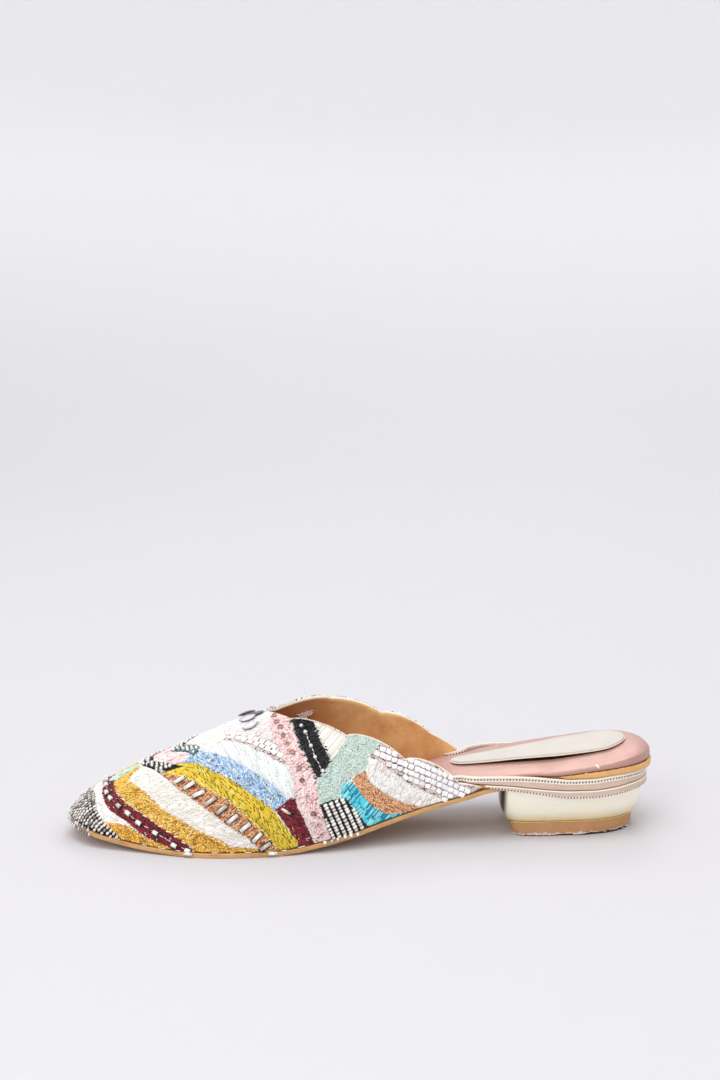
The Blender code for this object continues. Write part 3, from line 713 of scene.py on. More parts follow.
PANELS = (
    # name, piece, stitch, dye, slant in degrees, corners as (back, up). Each lies over those before it.
    ("ground", "rear", "streak", "white", 20,
     ((-1, -1), (-1, 90), (182, 90), (182, -1))),
    ("crescent", "front", "fine_satin", "white", -12,
     ((9, 45), (9.8, 27), (11, 22), (11.2, 15.4), (12.2, 9.8), (15.2, 5.5), (17, 5.7), (21.5, 6.5),
      (26.5, 6.6), (24, 9.4), (18.3, 11.8), (15.8, 15.3), (14.8, 22.9), (15, 27.5), (15.9, 34),
      (16.5, 45))),
    ("sliver", "front", "seed", "dark_mustard", -50,
     ((15, 5.6), (17, 5.9), (21.5, 6.7), (25.5, 6.4), (29, 5.1), (32, 4), (36, 2.7), (42.5, 1.1), (52, -1),
      (16, -1), (22, 1.1), (19, 3))),
    ("maroon", "front", "seed", "maroon", -28,
     ((15.8, 36), (15, 27.5), (14.8, 22.9), (15.8, 15.3), (18.5, 11.6), (24, 9), (27, 7.5), (29, 5.8),
      (32.5, 4), (37.5, 2.4), (43, 0.9), (48, -1), (58, -1), (55.5, 0), (49.5, 3.8), (45.5, 5.9),
      (41.5, 8.1), (37.5, 9.9), (33, 12.9), (29, 14.8), (25, 16.5), (22.5, 19.5), (20.4, 23.5), (19.8, 26),
      (19.5, 36))),
    ("mustard", "front", "seed", "mustard", 27,
     ((19.5, 36), (19.8, 26), (20.4, 23.5), (22.5, 19.5), (25, 16.5), (29, 14.8), (33, 12.9), (37.5, 9.9),
      (41.5, 8.1), (45.5, 5.9), (49.5, 3.8), (55.5, 0), (57, -1), (98, -1), (97, 0.5), (80.5, 1.4),
      (74.5, 2.1), (69, 2.6), (66, 4.7), (63, 6.3), (59.5, 7.6), (56.5, 8.9), (52.5, 10.9), (48, 13.4),
      (43.5, 15.4), (40, 17.2), (37, 20.1), (33, 24.1), (29.5, 27.1), (25.9, 31.1), (27.2, 35.4), (31, 42),
      (30, 46), (20, 46))),
    ("mustard_strip", "front", "seed", "dark_mustard", -48,
     ((52, 5), (57.5, 7.4), (63, 6.2), (66, 4.6), (69, 2.5), (74.5, 2), (80.5, 1.4), (98, 0.6), (98, -1),
      (52, -1))),
    ("cream_band", "middle", "fine_satin", "cream", 15,
     ((31, 42.4), (27, 35.4), (25.8, 31.1), (29.5, 27.1), (33, 24.1), (37, 20.1), (40, 17.1), (43.5, 15.3),
      (48, 13.2), (52.5, 10.7), (56.5, 8.8), (59.5, 7.5), (63, 6.2), (66, 4.6), (69, 2.5), (74.5, 2),
      (81, 1.4), (78, 5.2), (73, 8.4), (67.5, 12.1), (63, 15.6), (58, 19.3), (54, 22.3), (50.5, 25.3),
      (48, 26.6), (44.5, 30.6), (40.3, 35), (37, 40.4), (35, 44), (31, 46))),
    ("copper", "middle", "seed", "copper", 30,
     ((36, 42), (37, 40.4), (40.3, 35), (44.5, 30.6), (48, 26.6), (50.5, 25.3), (54, 22.3), (58, 19.3),
      (63, 15.6), (67.5, 12.1), (73, 8.4), (78, 5.2), (81, 1.3), (89.5, 0.5), (86, 3.2), (83.5, 7.3),
      (81.5, 9.7), (77.5, 13.2), (73.5, 17.2), (71, 20), (67, 23.1), (63, 25.2), (59.5, 27.6), (55, 30.5),
      (50.5, 32.8), (48.5, 34.1), (44, 35.2), (40, 36.4), (38.5, 41))),
    ("olive", "middle", "ribs", "olive", -60,
     ((39.5, 35.8), (44, 35.2), (48.5, 34.1), (50.5, 32.8), (55, 30.5), (59.5, 27.6), (63, 25.2),
      (67, 23.1), (71, 20), (73.5, 17.2), (77.5, 13.2), (81.5, 9.7), (83.5, 7.3), (86, 3.2), (89.5, 0.5),
      (98, -1), (101, -1), (98.5, 1.9), (92.5, 10.5), (88, 16.9), (85.5, 19.4), (83, 21.5), (79, 24.3),
      (75, 27.8), (71, 31), (66.5, 34.1), (62.5, 36.5), (59, 39.4), (56.5, 41.6), (52.5, 43.2), (48.5, 43),
      (43, 40))),
    ("blue", "middle", "seed", "blue", -62,
     ((48.5, 42.8), (52.5, 43.2), (56.5, 41.6), (59, 39.4), (62.5, 36.5), (66.5, 34.1), (71, 31),
      (75, 27.8), (79, 24.3), (83, 21.5), (88, 17.3), (94.5, 21.6), (92.5, 23), (89.5, 26), (87, 28.6),
      (82.5, 32), (79, 35.1), (75, 38.2), (71, 41.5), (67, 44.2), (63.5, 46.9), (58.5, 49.6), (56, 52),
      (52, 47.5))),
    ("mint_satin", "middle", "satin", "mint_white", -70,
     ((56, 51.8), (58.5, 49.6), (63.5, 46.9), (67, 44.2), (71, 41.5), (75, 38.2), (79, 35.1), (82.5, 32),
      (87, 28.6), (89.5, 26), (92.5, 23), (97.5, 21), (97, 28.6), (93, 37), (90, 39.5), (87, 41.7),
      (84.5, 44.3), (81, 45.8), (78.5, 48), (77.5, 50.2), (74.5, 51.8), (71.5, 54), (68, 55.7), (66, 58.3),
      (60, 60))),
    ("throat", "middle", "fine_satin", "blush", 24,
     ((66, 58.3), (68, 55.7), (71.5, 54), (74.5, 51.8), (77.5, 50.2), (78.5, 48), (81, 45.8), (84.5, 44.3),
      (87, 41.7), (90, 39.5), (93, 37), (95, 36), (89.3, 50), (88.5, 58), (88.5, 80), (67, 80), (67, 67))),
    ("throat_tiles", "middle", "seed", "grout", 24,
     ((66, 58.3), (68, 55.7), (71.5, 54), (74.5, 51.8), (77.5, 50.2), (78.5, 48), (81, 45.8), (84.5, 44.3),
      (87, 41.7), (90, 39.5), (93, 37), (95, 36), (94.5, 42), (88.5, 49.5), (80, 54), (72, 58),
      (67, 61.5))),
    ("turquoise_ridge", "front", "streak", "aqua", 20,
     ((16, 32.6), (16, 39), (20.5, 50), (25, 54), (32, 56), (31, 45.2), (25, 38.6), (20.5, 33.6))),
    ("black_ridge", "front", "seed", "black", 20,
     ((31.5, 60), (32, 43.7), (34.5, 41.5), (40, 35.9), (43, 38), (49.5, 40.7), (44.5, 42.8), (38, 47),
      (36, 60))),
    ("pink_ridge", "front", "streak", "pink", 20,
     ((36.2, 60), (37, 47), (38, 46.3), (46, 42.3), (49, 43.5), (52.5, 46.3), (52.5, 50.3), (46, 54.5),
      (44.5, 62))),
    ("teal_ridge", "front", "seed", "teal", 30,
     ((44.5, 64), (45.3, 54.6), (48.5, 53), (52, 51.1), (54, 47), (56.5, 50), (56.5, 55), (52.5, 58.5),
      (50.4, 61.5), (50.2, 70))),
    ("cream_ridge", "front", "fine_satin", "cream", 30,
     ((50.2, 75), (50.4, 61.5), (52.5, 58.5), (56.5, 55), (57.5, 54), (59.5, 50), (64, 54), (68.5, 57),
      (67.5, 75))),
    ("maroon_patch", "middle", "seed", "maroon", -30,
     ((88, 17.6), (91, 19.4), (94.5, 21.8), (97, 21.2), (98, 17), (100.5, 11.6), (105, 0), (105, -1),
      (98.5, -1), (98, 2.5), (95, 7), (92.5, 11.3))),
    ("pink", "middle", "seed", "pink", 30,
     ((88, 80), (88, 58.2), (89.2, 49.7), (93, 39.5), (95, 35.8), (96.5, 28), (96.8, 21.9), (98.5, 17),
      (101.5, 11.2), (105, 2), (105, -1), (112.8, -1), (112.5, 0), (110, 7.3), (107, 19.5), (106.3, 27.3),
      (103, 35.3), (100, 41.4), (97, 54.2), (95.5, 63), (95, 80))),
    ("black_band", "wing", "rope", "black", -8,
     ((95.5, 70), (96.8, 59.2), (100, 45.1), (103.3, 35.3), (106.5, 27.5), (109.5, 30), (112.6, 33.2),
      (110.8, 37.9), (107.8, 45.7), (106, 55.5), (106, 70))),
    ("cream_fan", "wing", "satin", "cream", 42,
     ((106, 70), (106, 55.5), (107.8, 45.7), (110.8, 37.9), (112.6, 33.2), (116.5, 37.3), (120.8, 41.5),
      (121, 70))),
    ("mint", "wing", "tight", "mint", 40,
     ((119.8, 70), (120.5, 41.5), (116, 36.8), (112.6, 33.2), (108, 28.6), (106.4, 24.1), (107.4, 16.7),
      (112, 16.6), (116.8, 17), (117.2, 21.6), (122, 24.2), (127.6, 24.9), (129, 30.1), (134.5, 33.8),
      (135, 70))),
    ("silver_grid", "wing", "seed", "black", 20,
     ((107.6, 16.4), (113, 17), (119, 16), (121.5, 11.5), (124.7, 6.6), (128.5, 0), (128.5, -1),
      (112.8, -1), (110.2, 7.3))),
    ("turquoise", "wing", "streak", "turquoise", 40,
     ((117, 22), (116.8, 17), (119.5, 15.4), (124.7, 7.1), (128.5, 0), (128.5, -1), (148, -1), (147.5, 0),
      (138, 2), (131.5, 7.6), (126, 15.3), (121.7, 22.6))),
    ("copper_tail", "wing", "seed", "copper_dark", -48,
     ((121.7, 23.5), (126, 15.3), (131.5, 7.6), (138, 2), (147.5, 0), (148, -1), (154, -1), (152.5, 0),
      (144, 5.2), (136.5, 11.5), (130, 18.3), (127.4, 25.2))),
    ("white_fan", "wing", "fan", "snow", 60,
     ((127.4, 25), (130, 18.3), (136.5, 11.5), (144, 5.2), (152.5, 0), (154, -1), (163, -1), (161, 1.3),
      (150, 9.8), (140, 19.8), (133.5, 27.6), (129.4, 30.2))),
    ("collar_tiles", "wing", "seed", "grout", -35,
     ((134.7, 70), (134.3, 33.8), (129.4, 30.2), (133.5, 27.6), (140, 19.8), (150, 9.8), (161, 1.3),
      (163, -1), (182, -1), (182, 70))),
    ("toe_cap", "", "seed", "black", 20,
     ((-1, -1), (-1, 60), (9.8, 60), (9.8, 27), (11, 22), (11.2, 15.4), (12.2, 9.8), (15.2, 5.5), (19, 3),
      (22, 1.1), (23, -1))),
)
CORNERS = {panel[0]: np.array(panel[5], float) for panel in PANELS}


def inside(corners, back, up):
    """Which places lie in a panel."""
    found = np.zeros(np.shape(back), bool)
    for (x0, y0), (x1, y1) in zip(corners, np.roll(corners, -1, axis=0)):
        if y0 != y1:
            found ^= ((y0 > up) != (y1 > up)) & (back < (x1 - x0) * (up - y0) / (y1 - y0) + x0)
    return found


MAP_STEP, MAP_LOW, MAP_SIZE = 0.12, -2.0, (1560, 800)


def draw_map():
    """Number of the panel that shows at each place of a fine grid over the pattern."""
    backs, ups = (MAP_LOW + MAP_STEP * np.arange(count) for count in MAP_SIZE)
    drawn = np.zeros(MAP_SIZE, int)
    for number, panel in enumerate(PANELS):
        corners = CORNERS[panel[0]]
        low = ((corners.min(axis=0) - MAP_LOW) / MAP_STEP - 1).astype(int).clip(0)
        high = ((corners.max(axis=0) - MAP_LOW) / MAP_STEP + 2).astype(int)
        window = (slice(low[0], high[0]), slice(low[1], high[1]))
        back, up = np.meshgrid(backs[window[0]], ups[window[1]], indexing="ij")
        drawn[window] = np.where(inside(corners, back, up), number, drawn[window])
    return drawn


PANEL_MAP = draw_map()


def owner(back, up):
    """Number of the panel that shows at each place."""
    rows, columns = (((np.asarray(at) - MAP_LOW) / MAP_STEP + 0.5).astype(int) for at in (back, up))
    return PANEL_MAP[rows.clip(0, MAP_SIZE[0] - 1), columns.clip(0, MAP_SIZE[1] - 1)]


def number_of(panel):
    return [row[0] for row in PANELS].index(panel)


def pick_dyes(name, count, tone):
    """A colour for each of some threads: drawn by share, then made a little lighter or darker."""
    rows = np.array(DYES[name], float)
    chosen = DRAW.choice(len(rows), size=count, p=rows[:, 0] / rows[:, 0].sum())
    colours = np.array([linear(*row[1:]) for row in rows])[chosen]
    return colours * (1 + tone * DRAW.standard_normal((count, 1))).clip(*TONE_LIMITS)


def row_directions(degrees):
    """Along and across rows that run at a slant over the pattern."""
    turn = math.radians(degrees)
    return np.array((math.cos(turn), math.sin(turn))), np.array((-math.sin(turn), math.cos(turn)))


def cut_row(side, number, row, reads, run, step):
    """Where one row of stitches lies in its panel, as pairs of places in reads."""
    back = reads * run[0] + row * step[0]
    up = reads * run[1] + row * step[1]
    over_crest = CREST_CROSSING * DRAW.uniform(-1, 1)
    limit = reach_up(side, back) + np.where(back < LENGTH - THROAT, over_crest, -EDGE_MARGIN)
    shown = owner(back, as_outer(side, back, np.minimum(up, limit))) == number
    shown &= (up > EDGE_MARGIN) & (up < limit) & (back > TOE_MARGIN) & (back < PAPER_REACH)
    return np.flatnonzero(np.diff(np.concatenate([[0], shown.view(np.int8), [0]]))).reshape(-1, 2)


def thread_rows(side, number):
    """Where each stitch of a panel starts and ends: rows of (back, up, back, up)."""
    name, _, stitch, _, slant, _ = PANELS[number]
    width, _, length, spread, wander, _, row_step = STITCHES[stitch]
    ragged = JAGGED.get(name, RAGGED)
    corners = CORNERS[name].copy()
    corners[:, 0] = np.clip(corners[:, 0], 0.0, PAPER_REACH)
    corners[:, 1] = as_own(side, corners[:, 0], np.clip(corners[:, 1], 0.0, PATTERN_TOP))
    run, step = row_directions(slant)
    along, over = corners @ run, corners @ step
    stitches = []
    reads = np.arange(along.min() - ROW_MARGIN, along.max() + ROW_MARGIN, SAMPLE)
    for row in np.arange(over.min() - ROW_MARGIN, over.max() + ROW_MARGIN, width * row_step):
        for first, last in cut_row(side, number, row, reads, run, step):
            at, end = reads[first] - ragged * DRAW.random(), reads[last - 1] + ragged * DRAW.random()
            part = length * DRAW.uniform(*FIRST_PART) if end - at > length else end - at
            while at < end - LEAST_STITCH:
                stop = min(at + part, end)
                if end - stop < LEAST_SHARE * length:
                    stop = end
                lean = math.tan(wander * DRAW.standard_normal()) * (stop - at) / 2
                ends = [at * run + (row - lean) * step, (stop + STITCH_OVERLAP) * run + (row + lean) * step]
                stitches.append(np.concatenate(ends))
                at = stop
                part = length * (1 + spread * DRAW.uniform(-1, 1))
    return np.array(stitches)


def laid_strands(side, ends, width, height, seat):
    """Copies of the strand, bent over the last between their ends."""
    width, height, seat = (np.broadcast_to(size, len(ends))[:, None] for size in (width, height, seat))
    forward, across, over = STRAND[1].T
    start, _ = on_upper(side, ends[:, 0], ends[:, 1])
    middle, normals = on_upper(side, (ends[:, 0] + ends[:, 2]) / 2, (ends[:, 1] + ends[:, 3]) / 2)
    stop, _ = on_upper(side, ends[:, 2], ends[:, 3])
    aside = unit(np.cross(normals, stop - start))
    t = ((forward + 1) / 2)[:, None]
    path = start[:, None] * ((1 - t) * (1 - 2 * t)) + middle[:, None] * (4 * t * (1 - t))
    path = path + stop[:, None] * (t * (2 * t - 1))
    rise = over * (height / 2) + seat - STRAND_DIP * np.abs(forward) ** STRAND_DIP_POWER * height
    sway = across * (width / 2)
    return path + aside[:, None] * sway[..., None] + normals[:, None] * rise[..., None]


def dashes(side, back, up, slant, length, width, seat):
    """Short threads that start at their places and run at their slants."""
    starts = np.stack([back, up], axis=1)
    reach = np.stack([np.cos(slant), np.sin(slant)], axis=1) * length
    return laid_strands(side, np.concatenate([starts, starts + reach], axis=1), width, width, seat)


def sewn(name, places, dyes):
    copies(name, STRAND, np.concatenate(places), np.concatenate(dyes), THREAD)


def embroider(side, side_name):
    """Covers a side of the upper with stitches, one piece of thread work for each part of it."""
    for part in ("front", "middle", "wing", "rear"):
        places, dyes = [], []
        for number, (_, piece, stitch, dye, _, _) in enumerate(PANELS):
            if piece != part:
                continue
            width, height, _, _, _, tone, _ = STITCHES[stitch]
            ends = thread_rows(side, number)
            spread = 1 + THREAD_SPREAD * DRAW.standard_normal((2, len(ends)))
            seat = THREAD_SEAT + THREAD_SEAT_SPREAD * DRAW.standard_normal(len(ends))
            places.append(laid_strands(side, ends, width * spread[0], height * spread[1], seat))
            dyes.append(pick_dyes(dye, len(ends), tone))
        sewn(f"threads_{part}_{side_name}", places, dyes)


# Rows of threads sewn along a line, over the panels.
SEWN_LINES = (
    # dye, length, gap, width, turn of each thread, line as (back, up)
    ("white", 1.1, 1.3, 0.45, 0.5,
     ((41, 37), (48.5, 34.6), (55, 31), (63, 25.8), (71, 20.6), (77.5, 13.8), (83.5, 7.8), (88.5, 1.2))),
    ("white", 0.9, 1.9, 0.4, 0.6,
     ((37.5, 40.4), (44.8, 30.4), (50.6, 25.1), (58, 19.1), (67.5, 11.9), (78, 5))),
    ("cream", 1.2, 1.5, 0.45, 0.5,
     ((26.5, 31), (33, 23.6), (40, 16.8), (48, 12.8), (59.5, 7.1), (69, 2))),
    ("pink", 2.2, 1.2, 0.34, 0.0,
     ((16.5, 31), (16.7, 23), (18.2, 18.5), (22, 14.6), (26, 12.1), (30.5, 9), (37.5, 6.2), (46, 2.4),
      (52, 0.4))),
    ("white", 2.0, 1.7, 0.5, 0.45,
     ((20.6, 22), (23.2, 18.6), (29, 14.6), (37.5, 9.7), (45.5, 5.6), (53.5, 0.8))),
    ("white", 1.9, 0.3, 0.42, 0.0, ((102.5, 50), (104.6, 42.6), (106, 37), (109, 30.4))),
    ("blush", 1.3, 1.2, 0.42, 0.3,
     ((88.4, 70), (88.6, 58), (89.8, 49.7), (95.4, 36), (97, 26), (98.6, 17), (102, 10.5), (106, 0.6))),
    ("rim", 1.6, 0.5, 0.34, 0.0, ((108.5, 45), (111.2, 38), (113, 34), (116.8, 38), (120.6, 42))),
    ("white", 1.0, 0.9, 0.4, 0.5, ((127.8, 25), (130.3, 18.4), (136.8, 11.6), (144, 5.4), (152, 0.4))),
)
SEWN_SEAT, SEWN_TONE, SEWN_SPREAD = -0.02, 0.04, 0.08


def walk(side, line, step):
    """Places every step millimetres along a line drawn for the lateral side: back, up and slant."""
    line = np.array(line, float)
    line[:, 1] = as_own(side, line[:, 0], line[:, 1])
    reach = walked(line)
    at = np.arange(0.0, reach[-1], step)

    def read(places):
        return np.array([np.interp(places, reach, line[:, axis]) for axis in (0, 1)])

    back, up = read(at)
    ahead = read(at + 0.5) - read(at - 0.5)
    return back, up, np.arctan2(ahead[1], ahead[0])


def sew_lines(side, side_name):
    places, dyes = [], []
    for dye, length, gap, width, turn, line in SEWN_LINES:
        back, up, slant = walk(side, line, length + gap)
        slant = slant + turn + (SEWN_SPREAD + 0.3 * turn) * DRAW.standard_normal(len(back))
        places.append(dashes(side, back, up, slant, length, width, SEWN_SEAT))
        dyes.append(pick_dyes(dye, len(back), SEWN_TONE))
    sewn(f"threads_lines_{side_name}", places, dyes)


# Flecks of another colour knotted into a panel. The near-black ones are painted shade, dark specks for the
# holes between stitches.
FLECKS = (
    # panel, dye, how many
    ("blue", "white", 120),
    ("blue", "dark_brown", 44),
    ("maroon", "pink", 26),
    ("copper", "cream", 30),
    ("copper", "dark_brown", 10),
    ("mint", "white", 40),
    ("mint", "dark_brown", 8),
    ("pink", "maroon", 60),
    ("cream_band", "mint", 10),
    ("olive", "dark_brown", 16),
    ("mustard", "pink", 26),
    ("maroon_patch", "pink", 10),
    ("mint_satin", "mint", 14),
)
FLECK_LENGTH, FLECK_WIDTH, FLECK_SEAT, FLECK_TONE, FLECK_WANDER = 0.9, 0.32, -0.06, 0.06, 0.5
FLECK_TRIES, FLECK_MARGIN, FLECK_LOW, FLECK_HIGH = 40, 0.5, 0.6, 74.0


def scatter(side, panel, count):
    """Random places that show in a panel."""
    corners = CORNERS[panel]
    low, high = corners.min(axis=0), corners.max(axis=0)
    back = DRAW.uniform(low[0], high[0], FLECK_TRIES * count)
    up = DRAW.uniform(max(low[1], FLECK_LOW), min(high[1], FLECK_HIGH), FLECK_TRIES * count)
    kept = (owner(back, up) == number_of(panel)) & (up > FLECK_MARGIN)
    kept &= up < reach_up(LATERAL, back) - FLECK_MARGIN
    back, up = back[kept][:count], up[kept][:count]
    return back, as_own(side, back, up)


def sew_flecks(side, side_name):
    places, dyes = [], []
    for panel, dye, count in FLECKS:
        back, up = scatter(side, panel, count)
        slant = math.radians(PANELS[number_of(panel)][4]) + FLECK_WANDER * DRAW.standard_normal(len(back))
        places.append(dashes(side, back, up, slant, FLECK_LENGTH, FLECK_WIDTH, FLECK_SEAT))
        dyes.append(pick_dyes(dye, len(back), FLECK_TONE))
    sewn(f"threads_flecks_{side_name}", places, dyes)


COLLAR_STITCH_STEP, COLLAR_STITCH_DROP, COLLAR_STITCH = 1.05, 0.75, np.array((0.3, 0.6))
COLLAR_STITCH_WIDTH, COLLAR_STITCH_SEAT = 0.36, 0.06
WELT_FROM, WELT_TO, WELT_STEP, WELT_WANDER, WELT_SHARE = 18.0, 100.0, 7.2, 1.5, 0.7
WELT_LENGTHS, WELT_WIDTH, WELT_UP = (2.0, 3.8), 0.42, 0.02


def sew_collar(side, side_name):
    """Short stitches that hold the collar's folded edge, just under it."""
    back = LENGTH - np.arange(TAIL_END + 3, THROAT - 1, COLLAR_STITCH_STEP)
    starts = np.stack([back, reach_up(side, back) - COLLAR_STITCH_DROP], axis=1)
    ends = np.concatenate([starts, starts + COLLAR_STITCH], axis=1)
    line = laid_strands(side, ends, COLLAR_STITCH_WIDTH, COLLAR_STITCH_WIDTH, COLLAR_STITCH_SEAT)
    sewn(f"collar_stitches_{side_name}", [line], [pick_dyes("rim", len(line), 0.04)])


def sew_welt(side, side_name):
    """White thread dashes that show here and there between the upper and the sole's edge."""
    back = np.arange(WELT_FROM, WELT_TO, WELT_STEP)
    back = back + DRAW.uniform(-WELT_WANDER, WELT_WANDER, len(back))
    back = back[DRAW.random(len(back)) < WELT_SHARE]
    up = np.full(len(back), WELT_UP)
    ends = np.stack([back, up, back + DRAW.uniform(*WELT_LENGTHS, len(back)), up], axis=1)
    line = laid_strands(side, ends, WELT_WIDTH, WELT_WIDTH, WELT_UP)
    sewn(f"welt_threads_{side_name}", [line], [pick_dyes("white", len(line), 0.05)])


# ---------------------------------------------------------------------------------------- beads and sequins

# Single beads and bugles, as (back, up).
MAROON_BEADS = (
    (16.5, 33), (16.5, 28), (16.8, 21.5), (18.5, 18), (22, 14.6), (26, 12.1), (30.5, 9), (37.5, 6.2),
    (45.3, 2.2), (51, 0.6),
)
PINK_BEADS = (
    (90, 66.4), (90.7, 61), (92, 57), (93, 51.7), (94.5, 46.8), (96.3, 42), (99, 34.1), (100, 28.4),
    (102, 21), (104.5, 13.2), (106.5, 8.1), (108, 3.4),
)
BLACK_BEADS = ((101, 53.9), (102.5, 49.9), (104.5, 42.6), (106, 37.1), (109, 30.4))
PATCH_TUBES = ((92.2, 17.2), (93.2, 16.2))
BUGLES = (
    (48, 31.6), (52.3, 29), (56.2, 25.2), (60.8, 21.9), (65.5, 18.4), (70, 14.4), (75.3, 10.8), (80.3, 6.4),
    (83.8, 2.4),
)
BUGLE_SLANT, BUGLE_WANDER, PATCH_SLANT = 35, 5, -30
HANGING_BEADS = np.array((109.5, 112.6, 115.2, 118.4, 121.0, 124.0))  # over the sole's edge, as back
HANGING_TUBES = np.array((51.0, 87.0))
HANGING_DROPS = (0.2, 1.1)
SCALLOP_BEADS = np.arange(86.4, 178.0, 1.2)  # tiny beads on the inner side's collar, as back

# Sizes are along the bore and twice across it. A leaf's are its length, width and thickness.
ROUND_BEAD, RING_BEAD, SCALLOP_BEAD = (1.6, 1.9, 1.9), (1.4, 2.6, 2.6), (0.8, 0.9, 0.9)
BUGLE_TUBE, MAROON_TUBE = (5.4, 1.8, 1.8), (2.5, 2.0, 2.0)
HANGING_TUBE, PATCH_TUBE = (4.0, 1.5, 1.5), (3.2, 1.1, 1.1)
BUGLE_SHADE, MAROON_SHADE = (6.1, 2.7, 0.7), (3.1, 2.8, 0.7)  # a dark disc under each tube, a painted shadow
SEQUINS = ((82.4, 74.4, 11), (78.7, 68.6, 16), (79.5, 61.0, 29))  # back, up and slant in degrees
SEQUIN_SIZE, SEQUIN_SEAT = (7.7, 3.2, 0.5), 0.7
SEQUIN_SHADOW_GROW, SEQUIN_SHADOW_DROP = np.array((0.35, 0.3, -0.1)), 0.3  # a larger dark leaf under each shows round it, a painted shadow edge
SEQUIN_LEAN, SEQUIN_RISE = np.array((-8.0, 30.0, 32.0)), 1.3

CAP_ROW, CAP_STEP, CAP_BEAD, CAP_SINK, CAP_FIRST = 2.1, 1.9, (1.2, 1.8, 1.05), 0.12, 0.7
CAP_EDGE = ((23, 0), (19, 3), (15.2, 5.5), (12.2, 9.8), (11.2, 15.4), (11, 22), (9.8, 27))  # (back, up)
CAP_MIDDLE = 0.45  # the strings are CAP_ROW apart at this share of the girth
CAP_OVERHANG = 9.5  # strings that reach the sole this close behind the toe tip also hang over its edge
CAP_EDGE_DROPS = (0.1, 1.9)  # the rows of beads that hide the sole's edge round the toe
GRID_BEAD, GRID_ROW, GRID_STEP, GRID_SLANT, GRID_MARGIN = (1.4, 1.95, 1.85), 2.35, 1.62, -68, 0.15
TILE_SIZE, TILE_LIMITS, TILE_ROW, TILE_STEP, TILE_MARGIN = (2.45, 2.0, 0.7), (0.86, 1.08), 2.22, 3.05, 0.5
TILE_PANELS, TILE_SLANT, TILE_SEAT = ("throat_tiles", "collar_tiles"), -36, 0.12
CLUSTERS = (
    # panel, bead, slant
    ("black_ridge", 1.9, 25),
    ("teal_ridge", 1.7, 35),
)
CLUSTER_ROW, CLUSTER_STEP, CLUSTER_MARGIN = 1.2, 1.15, 0.3  # the first two as shares of the bead
BEAD_SEAT = 0.15  # height of a bead's middle over the last's outside
BEAD_TONE, TUBE_TONE, SEQUIN_TONE = 0.06, 0.03, 0.02
LATTICE_MARGIN, LATTICE_WANDER, LATTICE_TOP = 4, 0.1, 80.0


def place_beads(side, back, up, slant, sizes, seat=BEAD_SEAT, shape=BEAD, flat=False):
    """Copies of a bead on the cloth, each with its bore along its slant, or facing out where flat."""
    points, forward, across, normals = cloth_frame(side, back, up, slant)
    turn = (normals, forward, across) if flat else (forward, across, normals)
    return turned(shape, points + normals * seat, *turn, sizes)


def place_leaves(side, back, up, turn, sizes, seat):
    """Leaf sequins held at one edge, so that each stands up from the cloth with its face towards the sole."""
    points, forward, across, normals = cloth_frame(side, back, as_own(side, back, up), np.radians(turn))
    down = across * -np.sign(across[:, 2:])
    lean = np.radians(SEQUIN_LEAN)[:, None]
    out = normals * np.cos(lean) + down * np.sin(lean)
    rise = SEQUIN_RISE * np.sin(lean)
    return turned(LEAF, points + normals * rise + out * seat, forward, np.cross(out, forward), out, sizes)


def lattice(side, panel, row_gap, step, slant, margin):
    """Places in rows across a panel, each row shifted by half a step from the one before."""
    run, over = row_directions(slant)
    corners = CORNERS[panel].copy()
    corners[:, 1] = as_own(side, corners[:, 0], np.clip(corners[:, 1], 0.0, LATTICE_TOP))
    number = number_of(panel)
    found = []
    along, aside = corners @ run, corners @ over
    low, high = along.min() - LATTICE_MARGIN, along.max() + LATTICE_MARGIN
    rows = np.arange(aside.min() - LATTICE_MARGIN, aside.max() + LATTICE_MARGIN, row_gap)
    for i, row in enumerate(rows):
        at = np.arange(low, high, step) + (i % 2) * step / 2
        at = at + LATTICE_WANDER * DRAW.standard_normal(len(at))
        back, up = at * run[0] + row * over[0], at * run[1] + row * over[1]
        kept = (back > 0) & (back < PAPER_REACH) & (up > margin) & (up < reach_up(side, back) - margin)
        for ahead in (-margin, margin):
            for aside in (-margin, margin):
                near_back = back + ahead * run[0] + aside * over[0]
                near_up = up + ahead * run[1] + aside * over[1]
                kept &= owner(near_back, as_outer(side, near_back, near_up)) == number
        found.append(np.stack([back, up], axis=1)[kept])
    return np.concatenate(found).T


def on_edge(side, back, drop, out):
    """Places beside the sole's edge, below the upper: point, and directions along it, down it and out."""
    def place(along, out):
        return frame_point(*edge_point(along, side, -out), feather_height(along) - drop)

    along = LENGTH - back
    points = place(along, out)
    normals = place(along, out + 1.0) - points
    forward = unit(place(along - 0.5, out) - points)
    return points, forward, np.cross(normals, forward), normals


def spaced(points, normals, first, step):
    """Places every step millimetres along a line in space: point, and directions along, across and out."""
    arcs = walked(points)
    at = np.arange(first, arcs[-1], step)

    def read(values, places):
        return np.stack([np.interp(places, arcs, values[:, axis]) for axis in range(3)], axis=1)

    outward = unit(read(normals, at))
    forward = laid_flat(read(points, at + 0.3) - read(points, at - 0.3), outward)
    return read(points, at), forward, np.cross(outward, forward), outward


